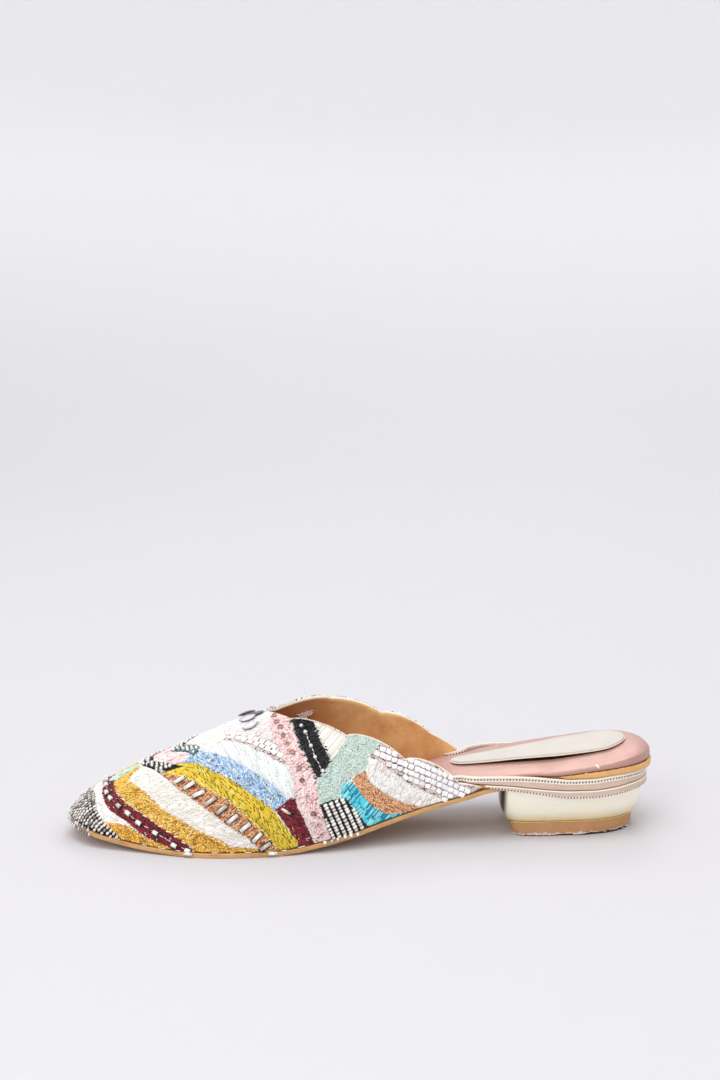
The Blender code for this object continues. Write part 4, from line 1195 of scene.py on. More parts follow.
def cap_strings(side):
    """The toe cap's beads, strung from the sole to the crest, each string ahead of the one before."""
    own, outer = PAPERS[side], PAPERS[LATERAL]
    edge_back, edge_up = np.array(CAP_EDGE, float).T
    share = np.linspace(0.0, 1.0, 120)
    border = np.interp(share, edge_up / outer.girth_at(edge_back), edge_back)
    run = np.linspace(1.0, 0.0, 200)
    across = run * border[54]
    reach = walked(on_upper(side, across, CAP_MIDDLE * own.girth_at(across))[0])
    found = []
    for factor in np.interp(np.arange(CAP_FIRST, reach[-1], CAP_ROW), reach, run):
        back = border * factor
        points, normals = on_upper(side, back, share * own.girth_at(back))
        first = (walked(points)[-1] - CAP_STEP / 2) % CAP_STEP
        centres, forward, aside, outward = spaced(points, normals, first, CAP_STEP)
        found.append((centres - outward * CAP_SINK, forward, aside, outward))
    for drop in CAP_EDGE_DROPS:
        points, _, _, normals = on_edge(side, np.linspace(0.02, CAP_OVERHANG, 160), drop, 0.2)
        found.append(spaced(points, normals, 0.6 + drop / 3, CAP_STEP))
    return [np.concatenate(part) for part in zip(*found)]


def sized(count, size, spread):
    return np.array(size) * (1 + spread * DRAW.standard_normal((count, 1)))


def threaded(side, beads, size, spread, seat, slant=None, **look):
    """Single beads or tubes, lying along the line that they make or at a slant."""
    back, up = np.array(beads, float).T
    up = as_own(side, back, up)
    if slant is None:
        slant = np.arctan2(np.gradient(up), np.gradient(back))
    return place_beads(side, back, up, slant, sized(len(back), size, spread), seat, **look)


def set_metal(name, shape, places, dyes):
    copies(name, shape, np.concatenate(places), np.concatenate(dyes), METAL_BEAD)


def set_metal_beads(side, side_name):
    places, dyes = [], []

    def add(made, dye):
        places.append(made)
        dyes.append(pick_dyes(dye, len(made), BEAD_TONE))

    strung = cap_strings(side)
    add(turned(BEAD, *strung, sized(len(strung[0]), CAP_BEAD, 0.07)), "pewter")
    back, up = lattice(side, "silver_grid", GRID_ROW, GRID_STEP, GRID_SLANT, GRID_MARGIN)
    add(place_beads(side, back, up, math.radians(GRID_SLANT), sized(len(back), GRID_BEAD, 0.06)), "silver")
    low = on_edge(side, HANGING_BEADS, DRAW.uniform(*HANGING_DROPS, len(HANGING_BEADS)), 0.5)
    add(turned(BEAD, *low, sized(len(HANGING_BEADS), ROUND_BEAD, 0.06)), "silver")
    for panel, bead, degrees in CLUSTERS:
        back, up = lattice(side, panel, bead * CLUSTER_ROW, bead * CLUSTER_STEP, degrees, CLUSTER_MARGIN)
        size = sized(len(back), (bead * 0.7, bead, bead), 0.08)
        slant = math.radians(degrees) + 0.5 * DRAW.standard_normal(len(back))
        add(place_beads(side, back, up, slant, size, 0.05), "silver")
    add(threaded(side, PINK_BEADS, RING_BEAD, 0.05, 0.15, flat=True), "rose_metal")
    add(threaded(side, BLACK_BEADS, ROUND_BEAD, 0.05, 0.3), "pearl")
    if side == MEDIAL:
        size = sized(len(SCALLOP_BEADS), SCALLOP_BEAD, 0.12)
        add(place_beads(side, SCALLOP_BEADS, reach_up(side, SCALLOP_BEADS) + 0.1, 0.6, size, -0.3), "sea")
    # Dark discs under the bugles and the maroon tubes: painted shadows.
    add(threaded(side, BUGLES, BUGLE_SHADE, 0.02, 0.25, math.radians(BUGLE_SLANT)), "dark_brown")
    add(threaded(side, MAROON_BEADS, MAROON_SHADE, 0.05, 0.2), "dark_brown")
    set_metal(f"beads_{side_name}", BEAD, places, dyes)


def set_bugles(side, side_name):
    turn = np.radians(BUGLE_SLANT + BUGLE_WANDER * DRAW.standard_normal(len(BUGLES)))
    tubes = [
        threaded(side, BUGLES, BUGLE_TUBE, 0.02, 0.55, turn, shape=BUGLE),
        threaded(side, MAROON_BEADS, MAROON_TUBE, 0.05, 0.4, shape=BUGLE),
        turned(BUGLE, *on_edge(side, HANGING_TUBES, 0.6, 0.6), sized(len(HANGING_TUBES), HANGING_TUBE, 0.05)),
        threaded(side, PATCH_TUBES, PATCH_TUBE, 0.03, 0.4, math.radians(PATCH_SLANT), shape=BUGLE),
    ]
    set_metal(f"bugles_{side_name}", BUGLE, tubes, [pick_dyes("silver", sum(map(len, tubes)), TUBE_TONE)])


def set_sequins(side, side_name):
    back, up, turn = np.array(SEQUINS, float).T
    sizes = sized(len(back), SEQUIN_SIZE, 0.0)
    leaves = place_leaves(side, back, up, turn, sizes, SEQUIN_SEAT)
    # A larger dark leaf under each sequin: painted shadow round its edge.
    under = place_leaves(side, back, up, turn, sizes + SEQUIN_SHADOW_GROW, SEQUIN_SEAT - SEQUIN_SHADOW_DROP)
    dyes = [
        pick_dyes("bronze", 1, 0.0),
        pick_dyes("tin", len(leaves) - 1, SEQUIN_TONE),
        pick_dyes("bronze", len(under), 0.0),
    ]
    set_metal(f"sequins_{side_name}", LEAF, [leaves, under], dyes)


def set_beads(side, side_name):
    for work in (set_metal_beads, set_bugles, set_sequins):
        work(side, side_name)


def set_tiles(side, side_name):
    places = []
    for panel in TILE_PANELS:
        back, up = lattice(side, panel, TILE_ROW, TILE_STEP, TILE_SLANT, TILE_MARGIN)
        slant = math.radians(TILE_SLANT) + 0.12 * DRAW.standard_normal(len(back))
        sizes = np.array(TILE_SIZE) * (1 + 0.06 * DRAW.standard_normal((len(back), 3))).clip(*TILE_LIMITS)
        places.append(place_beads(side, back, up, slant, sizes, TILE_SEAT, TILE))
    places = np.concatenate(places)
    dyes = pick_dyes("pearl", len(places), TUBE_TONE)
    copies(f"square_beads_{side_name}", TILE, places, dyes, GLASS_BEAD)


# ----------------------------------------------------------------------------------------- cloth and lining

# A sheet: how far out its face lies, thickness, drop under the collar, points on vamp, wing and girth.
CLOTH = -0.55, 0.6, 0.0, (96, 84, 46)
LINING = -1.2, 0.72, 0.1, (60, 70, 26)
GROUND_SHADE, GROUND_PALE = 0.2, 0.56  # the ground is darker than its threads, and less so when pale: painted shade in the gaps between stitches
INSIDE_OF_UPPER = Vector((-0.03, 0.0, 0.01))
BINDING_STEP, BINDING_IN, BINDING_HALF_WIDTH, BINDING_HALF_HEIGHT = 0.55, 0.9, 0.8, 0.42


def upper_grid(side, vamp, wings, columns, out, drop):
    """Points of one side of the upper, from the sole to the crest or collar, moved out from the last."""
    front, rear = LENGTH - THROAT, THROAT - TAIL_END
    back = np.concatenate([
        front * np.linspace(0.0, 1.0, vamp) ** 1.6,
        front + rear * np.linspace(0.0, 1.0, wings + 1)[1:],
    ])
    top = reach_up(side, back) - drop * (back > front)
    up = np.maximum(top[:, None] * np.linspace(0.0, 1.0, columns), 0.0)
    back = np.broadcast_to(back[:, None], up.shape)
    points, normals = on_upper(side, back, up)
    return points + normals * out, back, up


def ground_dyes(side, back, up):
    """The cloth's colour under its threads: their first dye, darkened as painted shade between the stitches.
    """
    grounds = np.array([linear(*DYES[panel[3]][0][1:]) for panel in PANELS])
    grounds = grounds * (GROUND_SHADE + GROUND_PALE * grounds.min(axis=1, keepdims=True))
    return grounds[owner(back, as_outer(side, back, up))].reshape(-1, 3)


def make_shell(name, sheet, material, dyed=False, replaces=()):
    """A closed sheet over both sides of the last, joined along the crest in front of the throat."""
    out, thickness, drop, counts = sheet
    mesh_data = bmesh.new()
    dye = mesh_data.verts.layers.float_color.new("dye") if dyed else None
    for side, _ in SIDES:
        points, back, up = upper_grid(side, *counts, out, drop)
        made = lay_grid(mesh_data, points)
        if dyed:
            for vertex, tint in zip(made, ground_dyes(side, back, up)):
                vertex[dye] = (*tint, 1.0)
    merge_close(mesh_data, SHEET_JOIN)
    bmesh.ops.recalc_face_normals(mesh_data, faces=mesh_data.faces)
    outward = sum(face.normal.dot(face.calc_center_median() - INSIDE_OF_UPPER) for face in mesh_data.faces)
    if outward < 0:
        bmesh.ops.reverse_faces(mesh_data, faces=mesh_data.faces)
    thicken(new_piece(mesh_data, name, material, replaces), thickness, -1.0)


def collar_line():
    """The scalloped edge, from the lateral tail round to the medial tail: point, normal and way up."""
    found = []
    for side, _ in SIDES:
        cusps = LATERAL_COLLAR if side == LATERAL else MEDIAL_COLLAR
        along = []
        for front, back in zip(cusps, cusps[1:]):
            count = max(3, int((front[0] - back[0]) / BINDING_STEP))
            along.append(np.linspace(front[0], back[0], count)[:-1])
        back = LENGTH - np.append(np.concatenate(along), TAIL_END)
        up = reach_up(side, back)
        points, normals = on_upper(side, back, up)
        sheet = (points, normals, unit(points - on_upper(side, back, up - 0.8)[0]))
        found.append([part[::-1] for part in sheet] if side == LATERAL else [part[1:] for part in sheet])
    return [np.concatenate(pair) for pair in zip(*found)]


def make_binding():
    """A soft folded edge over the cloth and the lining along the collar."""
    points, normals, rise = collar_line()
    rings = tube(points - normals * BINDING_IN, normals * BINDING_HALF_WIDTH, rise * BINDING_HALF_HEIGHT, 12)
    solid_of(rings, "collar_binding", BINDING)


# ----------------------------------------------------------------------------- sole, board, strips and heel

SHARP_EDGE = math.radians(35)
UP = np.array((0.0, 0.0, 1.0))


def smoothed_copy(node_name, name, material, bevel):
    """A copy of a CAD node with its corners joined and softened, standing for it."""
    mesh_data = bmesh.new()
    mesh_data.from_mesh(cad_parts[node_name].data)
    merge_close(mesh_data, SHEET_JOIN)
    piece = new_piece(mesh_data, name, material, (node_name,))
    piece.data.set_sharp_from_angle(angle=SHARP_EDGE)
    soften(piece, bevel, 40)


def crowded(first, last, count, crowd=0.8):
    """Places from first to last, closer together at both rounded ends."""
    turn = 2 * math.pi * np.arange(count + 1) / count
    return first + (last - first) * (turn - crowd * np.sin(turn)) / (2 * math.pi)


def outline_ring(places, inset, height, scale=1.0):
    """A closed outline: heel tip, lateral side, toe tip and medial side."""
    parts = []
    for side, walk_places in ((LATERAL, places), (MEDIAL, places[-2:0:-1])):
        along, across = edge_point(walk_places, side, inset(behind_tail(walk_places, side)), scale)
        parts.append(frame_point(along, across, height(walk_places)))
    return np.concatenate(parts)


FOOTBED_SPREADS = (0.992, 0.975, 0.95, 0.91, 0.86, 0.79, 0.7, 0.6, 0.48, 0.36, 0.24, 0.12, 0.0)
SEAM_SPREAD, SEAM_DEPTH, SEAM_WIDTH = 0.93, 0.22, 0.02  # a faint line where the leather turns down


def make_footbed():
    """The padded insole: a low crown of foam under leather, turned down all round its edge."""
    places = crowded(0.0, LENGTH, 150)

    def ring(inward=0.0, share=0.0, scale=1.0):
        def inset(along):
            return layer(CUSHION_INSET, along) + inward

        def height(along):
            bottom = cushion_bottom(along)
            return bottom + share * (layer(CUSHION_CROWN, along) - bottom)

        return outline_ring(places, inset, height, scale)

    rings = [ring(CUSHION_FOOT_IN, scale=scale) for scale in (0.0, 0.5, 1.0)]
    rings += [ring(0.25, CUSHION_FOOT_RISE * 0.35), ring(share=CUSHION_FOOT_RISE)]
    for spread in FOOTBED_SPREADS:
        crown = ring(scale=spread)
        dent = SEAM_DEPTH * math.exp(-(((spread - SEAM_SPREAD) / SEAM_WIDTH) ** 2))
        crown[:, 2] = cushion_top(CENTRE_ALONG - crown[:, 0], crown[:, 1]) - dent
        rings.append(crown)
    mesh_data = grid_of(np.stack(rings), close_ring=True, merge=1e-5)
    piece = new_piece(mesh_data, "footbed_cushion", ROSE_LEATHER, ("footbed",))


# The sock pad's outer edge has come unstuck and stands up a little.
PAD_LIFT, PAD_LIFT_LEAST, PAD_LIFT_CENTRE, PAD_LIFT_RUN = 1.5, 0.3, 50.0, 20.0
PAD_LIFT_FROM, PAD_LIFT_POWER = 0.5, 1.6


def pad_plan(grow):
    """The sock pad's plan, a drop: along, across, and the share of its half width."""
    first, last = PAD[0][0] - grow, PAD[-1][0] + grow
    share, along = np.meshgrid(np.linspace(-1.0, 1.0, 22), crowded(first, last, 64))
    width = smooth(PAD, 2, along) + grow
    width = width * rounded((first + PAD_HEEL_CAP - along) / PAD_HEEL_CAP, 2.0)
    width = width * rounded((along - last + PAD_TOE_CAP) / PAD_TOE_CAP, 2.0)
    return along, smooth(PAD, 1, along) + share * width, share


def pad_sheet(name, base, thickness, grow, material, lift=PAD_LIFT, replaces=()):
    along, across, share = pad_plan(grow)
    loose = (np.clip(-share - PAD_LIFT_FROM, 0, 1) / (1 - PAD_LIFT_FROM)) ** PAD_LIFT_POWER
    loose = loose * (
        PAD_LIFT_LEAST + (1 - PAD_LIFT_LEAST) * np.exp(-(((along - PAD_LIFT_CENTRE) / PAD_LIFT_RUN) ** 2))
    )
    mesh_data = grid_of(frame_point(along, across, cushion_top(along, across) + base + lift * loose))
    if sum(face.normal.z for face in mesh_data.faces) < 0:
        bmesh.ops.reverse_faces(mesh_data, faces=mesh_data.faces)
    piece = new_piece(mesh_data, name, material, replaces)
    thicken(piece, thickness, 1.0)
    soften(piece, 0.12, 50)


def make_pad():
    """The sock pad: a leather face on a cream backing, and a near-black sheet under its loose edge, painted
    shadow that makes the gap beneath it dark.
    """
    pad_sheet("heel_pad_gap_shadow", 0.02, 0.12, -0.35, GLUE, lift=0.0)
    pad_sheet("heel_pad_backing", 0.22, 0.5, 0.3, CREAM_EDGE)
    pad_sheet("heel_pad_leather", 0.72, 0.5, 0.0, PAD_LEATHER, replaces=("heel_pad",))


MEDIAL_STRIP_MORE = 4.5  # the strips reach this much further forward on the medial side
MEDIAL_STRIP_RISE, MEDIAL_STRIP_TOP, MEDIAL_STRIP_SPREAD = -0.3, 76.0, 16.0
MEDIAL_STRIP_FALL = 0.25  # a millimetre of its length, towards its front end
STRIP_OUT = 0.12  # how far the strips' flat faces lie inside their outline
STRIP_SOFT = ((0.45, 0.0), (0.2, 0.1), (STRIP_OUT, 0.35))  # their softened edges: in, and away from the edge


def strip_rise(along, side):
    """How much higher the upper strip stands on the medial side, where the footbed is narrow."""
    away = (along - MEDIAL_STRIP_TOP) / MEDIAL_STRIP_SPREAD
    fall = MEDIAL_STRIP_FALL * np.maximum(along - MEDIAL_STRIP_TOP, 0.0)
    return np.where(side == MEDIAL, MEDIAL_STRIP_RISE * np.exp(-(away**2)) - fall, 0.0)


def rand_line(column, along, side):
    """Height of a line of the strips. The upper strip's top and pipings also follow its rise."""
    return smooth(RANDS, column, along) + (strip_rise(along, side) if column == RAND_TOP else 0.0)


def rand_inset(along, side, upper):
    """How far in the outline of the upper or the lower strip lies."""
    return smooth(RANDS, RAND_INSET, behind_tail(along, side)) if upper else LOWER_RAND_INSET + 0 * along


def strip_walk(front, count):
    """Places round the seat from the lateral waist to the medial waist, with the side that each is on."""
    places = front * (1 - np.cos(np.pi / 2 * np.arange(count + 1) / count))
    medial = places[1:] * (front - MEDIAL_LEAD + MEDIAL_STRIP_MORE) / front
    return [(LATERAL, places[::-1]), (MEDIAL, medial)]


def strip_rings(front, count, section):
    """Rings round a strip. Section gives the insets and heights of its outline at places."""
    rings = []
    for side, places in strip_walk(front, count):
        outline = zip(*section(places, side))
        points = [frame_point(*edge_point(places, side, inset), height) for inset, height in outline]
        rings.append(np.stack(points, axis=1))
    return np.concatenate(rings)


def flat_section(low, low_shift, top, top_shift, upper):
    """A strip's outline between two lines: a flat outer face with softened edges."""
    def section(along, side):
        base, crown = rand_line(low, along, side) + low_shift, rand_line(top, along, side) + top_shift
        outer = rand_inset(along, side, upper)
        insets, heights = [outer + RAND_THICKNESS], [base]
        for inward, away in STRIP_SOFT:
            insets.append(outer + inward)
            heights.append(base + away)
        for share in (0.35, 0.5, 0.65):
            insets.append(outer + STRIP_OUT)
            heights.append(base + (crown - base) * share)
        for inward, away in STRIP_SOFT[::-1]:
            insets.append(outer + inward)
            heights.append(crown - away)
        return insets + [outer + RAND_THICKNESS], heights + [crown]
    return section


PIPINGS = (
    # name, table column and shift of its middle, strip's front, radius
    ("top_piping", RAND_TOP, -0.42, UPPER_RAND_FRONT, 0.56),
    ("second_piping", RAND_TOP, -2.0, UPPER_RAND_FRONT, 0.36),
    ("lower_piping", RAND_DIVIDE, -0.55, LOWER_RAND_FRONT, 0.42),
)
PIPING_SIDES, PIPING_OVAL, PIPING_END = 10, 0.8, 0.4


def make_strips():
    """Two folded strips round the seat, one above the other, with thin glazed pipings along their edges."""
    section = flat_section(RAND_DIVIDE, GAP / 2, RAND_TOP, 0.0, True)
    rings = strip_rings(UPPER_RAND_FRONT, 110, section)
    solid_of(rings, "upper_strip", STRIP_LEATHER, ("rand_upper",))
    section = flat_section(RAND_LOW, 0.0, RAND_DIVIDE, -GAP / 2, False)
    rings = strip_rings(LOWER_RAND_FRONT, 100, section)
    solid_of(rings, "lower_strip", STRIP_LEATHER, ("rand_lower",))
    turn = np.linspace(0.0, 2 * math.pi, PIPING_SIDES, endpoint=False)
    for name, column, shift, front, radius in PIPINGS:
        def section(along, side):
            outer = rand_inset(along, side, column == RAND_TOP) + STRIP_OUT
            middle = rand_line(column, along, side) + shift
            insets = [outer - radius * PIPING_OVAL * math.cos(t) for t in turn]
            return insets, [middle + radius * math.sin(t) for t in turn]
        solid_of(strip_rings(front - PIPING_END, 110, section), name, PIPING)


STRIP_STITCH_ROWS = (
    # name, where the row runs: table column, shift up and shift in, strip's front, length of a stitch
    ("upper_strip_stitches", RAND_TOP, -1.35, 0.0, UPPER_RAND_FRONT, 1.0),
    ("inner_strip_stitches", RAND_TOP, -0.75, RAND_THICKNESS + 0.12, UPPER_RAND_FRONT, 0.9),
    ("lower_strip_stitches", RAND_LOW, 0.45, 0.0, LOWER_RAND_FRONT, 0.7),
)
STRIP_STITCH_STEP, STRIP_STITCH_LEAN, STRIP_STITCH_SINK = 0.7, math.radians(62), 0.04
STRIP_STITCH_THICK, DARK_STITCH, PALE_STITCH, STRIP_STITCH_OVAL = 0.27, 0.75, 1.4, 0.8  # every other is dark


def make_strip_stitches():
    for name, column, shift, inward, front, length in STRIP_STITCH_ROWS:
        found = []
        for side, places in strip_walk(front - 1.5, 700):
            inset = rand_inset(places, side, column == RAND_TOP) + inward
            height = rand_line(column, places, side) + shift
            points = frame_point(*edge_point(places, side, inset), height)
            outer = frame_point(*edge_point(places, side, inset - 1.0), height)
            found.append((points, points - outer if inward else outer - points))
        points, outward = (np.concatenate(part) for part in zip(*found))
        centres, forward, across, normals = spaced(points, outward, 0.5, STRIP_STITCH_STEP)
        stitch = forward * math.cos(STRIP_STITCH_LEAN) + across * math.sin(STRIP_STITCH_LEAN)
        dark = (np.arange(len(centres)) % 2 == 0)[:, None]
        thick = np.where(dark, DARK_STITCH, PALE_STITCH) * STRIP_STITCH_THICK
        sizes = np.concatenate([np.full(dark.shape, length / 2), thick, thick * STRIP_STITCH_OVAL], axis=1)
        centres = centres - normals * STRIP_STITCH_SINK
        made = turned(STRAND, centres, stitch, np.cross(normals, stitch), normals, sizes)
        dyes = np.where(dark, pick_dyes("dark_brown", len(made), 0.1), pick_dyes("cream", len(made), 0.03))
        sewn(name, [made], [dyes])


def heel_outline(draw_in, height, count, front_in=0.0):
    """Plan of the heel block: round at the back, square with round corners in front."""
    angle = 2 * math.pi * np.arange(count) / count
    forward, across = np.cos(angle), np.sin(angle)
    power = np.where(forward > 0, HEEL_FRONT_POWER, HEEL_BACK_POWER)
    forward, across = (np.copysign(np.abs(part) ** (2 / power), part) for part in (forward, across))
    slant = (HEEL_SLANT + HEEL_SLANT_MORE * min(draw_in, HEEL_SLANT_LIMIT)) * (across + 1) / 2
    place = HEEL_MIDDLE + forward * (HEEL_HALF_LENGTH - draw_in)
    place = place - np.maximum(forward, 0.0) * (slant + front_in)
    return frame_point(place, across * (HEEL_HALF_WIDTH - draw_in), height(place))


def level_away(ring):
    """Level directions away from a ring's middle."""
    return unit((ring - ring.mean(axis=0)) * (1, 1, 0))


HEEL_SIDES, HEEL_ROUND, HEEL_FOOT, HEEL_CAP = 176, 0.7, LIFT_HEIGHT + GAP, (22.0, 8.0)
HEEL_TOP_ROUND, HEEL_TOP_IN = 0.3, 0.6


def make_heel_block():
    """The moulded heel under mirror foil, its edges rolled."""
    def ring(share, more=0.0, drop=0.0):
        def height(place):
            return HEEL_FOOT + share * (sole_bottom(place) - GAP - HEEL_FOOT) + drop

        return heel_outline(HEEL_DRAW_IN * (1 - share) ** HEEL_DRAW_POWER + more, height, HEEL_SIDES)

    rings = [ring(0.0, more) for more in (*HEEL_CAP, HEEL_ROUND)]
    for t in (0.4, 0.8, 1.2):
        rings.append(ring(0.0, HEEL_ROUND * (1 - math.sin(t)), HEEL_ROUND * (1 - math.cos(t))))
    rings += [ring(share) for share in np.linspace(0.045, 0.975, 26)]
    for t in (0.3, 0.8, 1.3):
        rings.append(ring(1.0, HEEL_ROUND * (1 - math.cos(t)) * 0.5, -HEEL_TOP_ROUND * (1 - math.sin(t))))
    rings += [ring(1.0, more) for more in (HEEL_TOP_IN, *HEEL_CAP[::-1])]
    solid_of(rings, "heel_foil_block", GOLD_FOIL, ("heel_block",))


LIFT_FRONT_SLOPE = 2.2  # how far the lift's front leans back towards the floor
LIFT_GAP = ((0.0, 20.0, 42.0, 75.0), (1.25, 1.0, 0.6, 0.5))  # places, and how high its worn edge stands
LIFT_RINGS = (
    # drawn in, height, roughness, how much of the gap over the floor is added
    (24.0, 0.3, 0.0, 1.0),
    (2.0, 0.3, 0.0, 1.0),
    (1.0, 0.12, 0.6, 1.0),
    (0.72, 0.0, 0.8, 1.0),
    (0.6, 0.3, 0.3, 1.0),
    (0.45, 1.75, 0.03, 0.0),
    (0.36, 3.0, 0.02, 0.0),
    (0.26, 4.6, 0.02, 0.0),
    (0.15, 5.9, 0.02, 0.0),
    (0.2, 6.25, 0.0, 0.0),
    (0.5, LIFT_HEIGHT, 0.0, 0.0),
    (8.0, LIFT_HEIGHT, 0.0, 0.0),
    (24.0, LIFT_HEIGHT, 0.0, 0.0),
)
# Painted shadow under the lift's lip: a near-black ring from the floor up to just under its worn edge.
LIFT_SHADOW_RINGS = (
    # drawn in, height, roughness, how much of the gap over the floor is added
    (24.0, 0.0, 0.0, 0.0),
    (1.5, 0.0, 0.2, 0.0),
    (1.15, 0.1, 0.3, 0.0),
    (1.05, 0.1, 0.3, 1.0),
    (1.8, 0.22, 0.0, 1.0),
    (24.0, 0.22, 0.0, 1.0),
)
ROUGH_SPAN = 5  # neighbouring points that wander together


def lift_gap(place):
    return np.interp(place, *LIFT_GAP)


def lift_ring(inset, height, rough, share):
    slope = LIFT_FRONT_SLOPE * (1 - height / LIFT_HEIGHT)
    count = HEEL_SIDES * 2
    points = heel_outline(HEEL_DRAW_IN + inset, lambda place: height + share * lift_gap(place), count, slope)
    wander = np.convolve(DRAW.standard_normal(count + 8), np.ones(ROUGH_SPAN) / ROUGH_SPAN, "same")[4:-4]
    return points + level_away(points) * (rough * wander)[:, None]


def make_lift():
    """The heel's tan top piece, its cut edge a little uneven and frayed where it meets the floor."""
    rings = [lift_ring(*row) for row in LIFT_RINGS]
    solid_of(rings, "heel_lift", LIFT_RUBBER, ("heel_top_piece",))
    # A near-black band under the lift's lip: painted shadow where it meets the floor.
    rings = [lift_ring(*row) for row in LIFT_SHADOW_RINGS]
    solid_of(rings, "heel_lift_painted_shadow", LIFT_SHADOW)


HEEL_LINE_UP, HEEL_LINE_OUT, HEEL_LINE_IN, HEEL_LINE_RADII = 0.16, 0.12, 0.3, (0.34, 0.26)
GLUE_FRONT, GLUE_COUNT, GLUE_DROP, GLUE_IN = 66.0, 120, 0.1, {LATERAL: 0.75, MEDIAL: 1.7}
GLUE_SIZE, GLUE_WAVE, GLUE_WAVE_RATE, GLUE_WANDER, GLUE_LIMITS = 0.4, 0.2, 1.7, 0.1, (0.08, 0.62)


def make_heel_line():
    """A thin golden line of foil edge between the block and the lift."""
    outer = heel_outline(HEEL_DRAW_IN - HEEL_LINE_OUT, lambda place: LIFT_HEIGHT + HEEL_LINE_UP, HEEL_SIDES)
    outer = np.concatenate([outer, outer[:1]])
    away = level_away(outer)
    rings = tube(outer - away * HEEL_LINE_IN, away * HEEL_LINE_RADII[0], UP * HEEL_LINE_RADII[1], 8)
    solid_of(rings, "heel_foil_edge", GOLD_EDGE)


def make_glue_line():
    """A broken dark bead of glue under the insole, where it meets the board round the seat."""
    rings = []
    for side, places in strip_walk(GLUE_FRONT, GLUE_COUNT):
        inset = layer(CUSHION_INSET, behind_tail(places, side)) + GLUE_IN[side]
        height = cushion_bottom(places) - GLUE_DROP
        points = frame_point(*edge_point(places, side, inset), height)
        away = frame_point(*edge_point(places, side, inset - 1.0), height) - points
        wave = GLUE_SIZE + GLUE_WAVE * np.sin(places * GLUE_WAVE_RATE)
        size = (wave + GLUE_WANDER * DRAW.standard_normal(len(places))).clip(*GLUE_LIMITS)[:, None]
        rings.append(tube(points, away * size * 1.2, UP * size * 0.7, 6))
    solid_of(np.concatenate(rings), "glue_line", BROWN_GLUE)


HAIR_POINTS, HAIR_TIP, HAIR_ASIDE = 9, 0.3, (0.3, 0.2, 0.93)


def hair(points, radius, sides=5):
    """A fine thread through its points, thinner at both ends."""
    rows = np.concatenate([np.arange(len(points))[:, None], points], axis=1)
    at = np.linspace(0, len(points) - 1, HAIR_POINTS)
    line = np.stack([smooth(rows, axis, at) for axis in (1, 2, 3)], axis=1)
    forward = unit(np.gradient(line, axis=0))
    aside = unit(np.cross(forward, HAIR_ASIDE))
    size = np.full((HAIR_POINTS, 1), radius)
    size[[0, -1]] *= HAIR_TIP
    rings = tube(line, aside * size, np.cross(forward, aside) * size, sides)
    return grid_of(rings, close_ring=True, cap_ends=True)


def joined(parts, name):
    """Several loose bits as one piece."""
    mesh_data = bmesh.new()
    for part in parts:
        mesh = mesh_of(part, "bit")
        mesh_data.from_mesh(mesh)
        bpy.data.meshes.remove(mesh)
    new_piece(mesh_data, name, LOOSE_THREAD)


def footbed_edge(place, inward, rise):
    """A place on the outer side's edge of the footbed."""
    edge = edge_point(np.float64(place), LATERAL, layer(CUSHION_INSET, place) + inward)
    return frame_point(*edge, cushion_bottom(place) + rise)


def throat_tuft():
    """A tuft of thread ends on the lining under the throat, and three longer ones that stand out of it."""
    root, normal = (found[0] for found in on_upper(MEDIAL, np.array([105.5]), np.array([46.2])))
    root, normal = root - normal * 2.0, -normal
    for _ in range(26):
        drift = DRAW.standard_normal(3) * (1.5, 0.8, 1.4)
        start = root + DRAW.standard_normal(3) * 0.4
        middle = start + normal * DRAW.uniform(0.4, 1.2) + drift * 0.5
        yield hair((start, middle, start + normal * DRAW.uniform(0.3, 1.6) + drift), 0.26)
    for _ in range(3):
        end = root + normal * 0.6 + np.array((6.2, 0.0, 6.4)) + DRAW.standard_normal(3) * 0.5
        yield hair((root, (root + end) / 2 + normal * 0.5 + DRAW.standard_normal(3) * 0.4, end), 0.15)


def edge_frays():
    """Frays at the footbed's edge, as groups at places along it, and at the sock pad's loose edge."""
    for along, count in ((18, 3), (34, 2), (58, 3), (86, 2)):
        for _ in range(count):
            start = footbed_edge(along + DRAW.uniform(-2, 2), 0.2, -0.2)
            end = start + (DRAW.uniform(-1.4, 1.4), -DRAW.uniform(0.5, 1.3), DRAW.uniform(-0.5, 0.9))
            yield hair((start, (start + end) / 2 + (0, -0.3, 0.2), end), 0.09)
    for _ in range(7):
        place = 34.0 + DRAW.uniform(-1.2, 1.2)
        across = smooth(PAD, 1, place) - smooth(PAD, 2, place)
        start = frame_point(place, across + 0.2, cushion_top(place, np.float64(across)) + 1.2)
        end = start + (DRAW.uniform(-1.2, 1.2), -DRAW.uniform(0.3, 1.0), DRAW.uniform(-0.4, 0.7))
        yield hair((start, (start + end) / 2 + (0, -0.2, 0.2), end), 0.12)


def footbed_scrap():
    """A scrap of thread stuck to the footbed's edge near the heel."""
    spot = footbed_edge(27.5, 0.6, 2.0)
    for shift in ((-0.5, 0.0, 0.6), (0.1, -0.1, 0.1), (0.5, 0.0, -0.5)):
        middle = spot + shift
        yield hair((middle - (0.5, 0.1, 0.5), middle, middle + (0.4, 0.0, -0.5)), 0.5)


FRAY_PLACES, FRAY_COUNT, FRAY_IN, FRAY_RADIUS = 720, 300, 0.7, 0.13
FRAY_TUFT, FRAY_TUFT_SPREAD = 40.0, 9  # where along the lift its fray is thickest
FRAY_LOWEST = 0.08


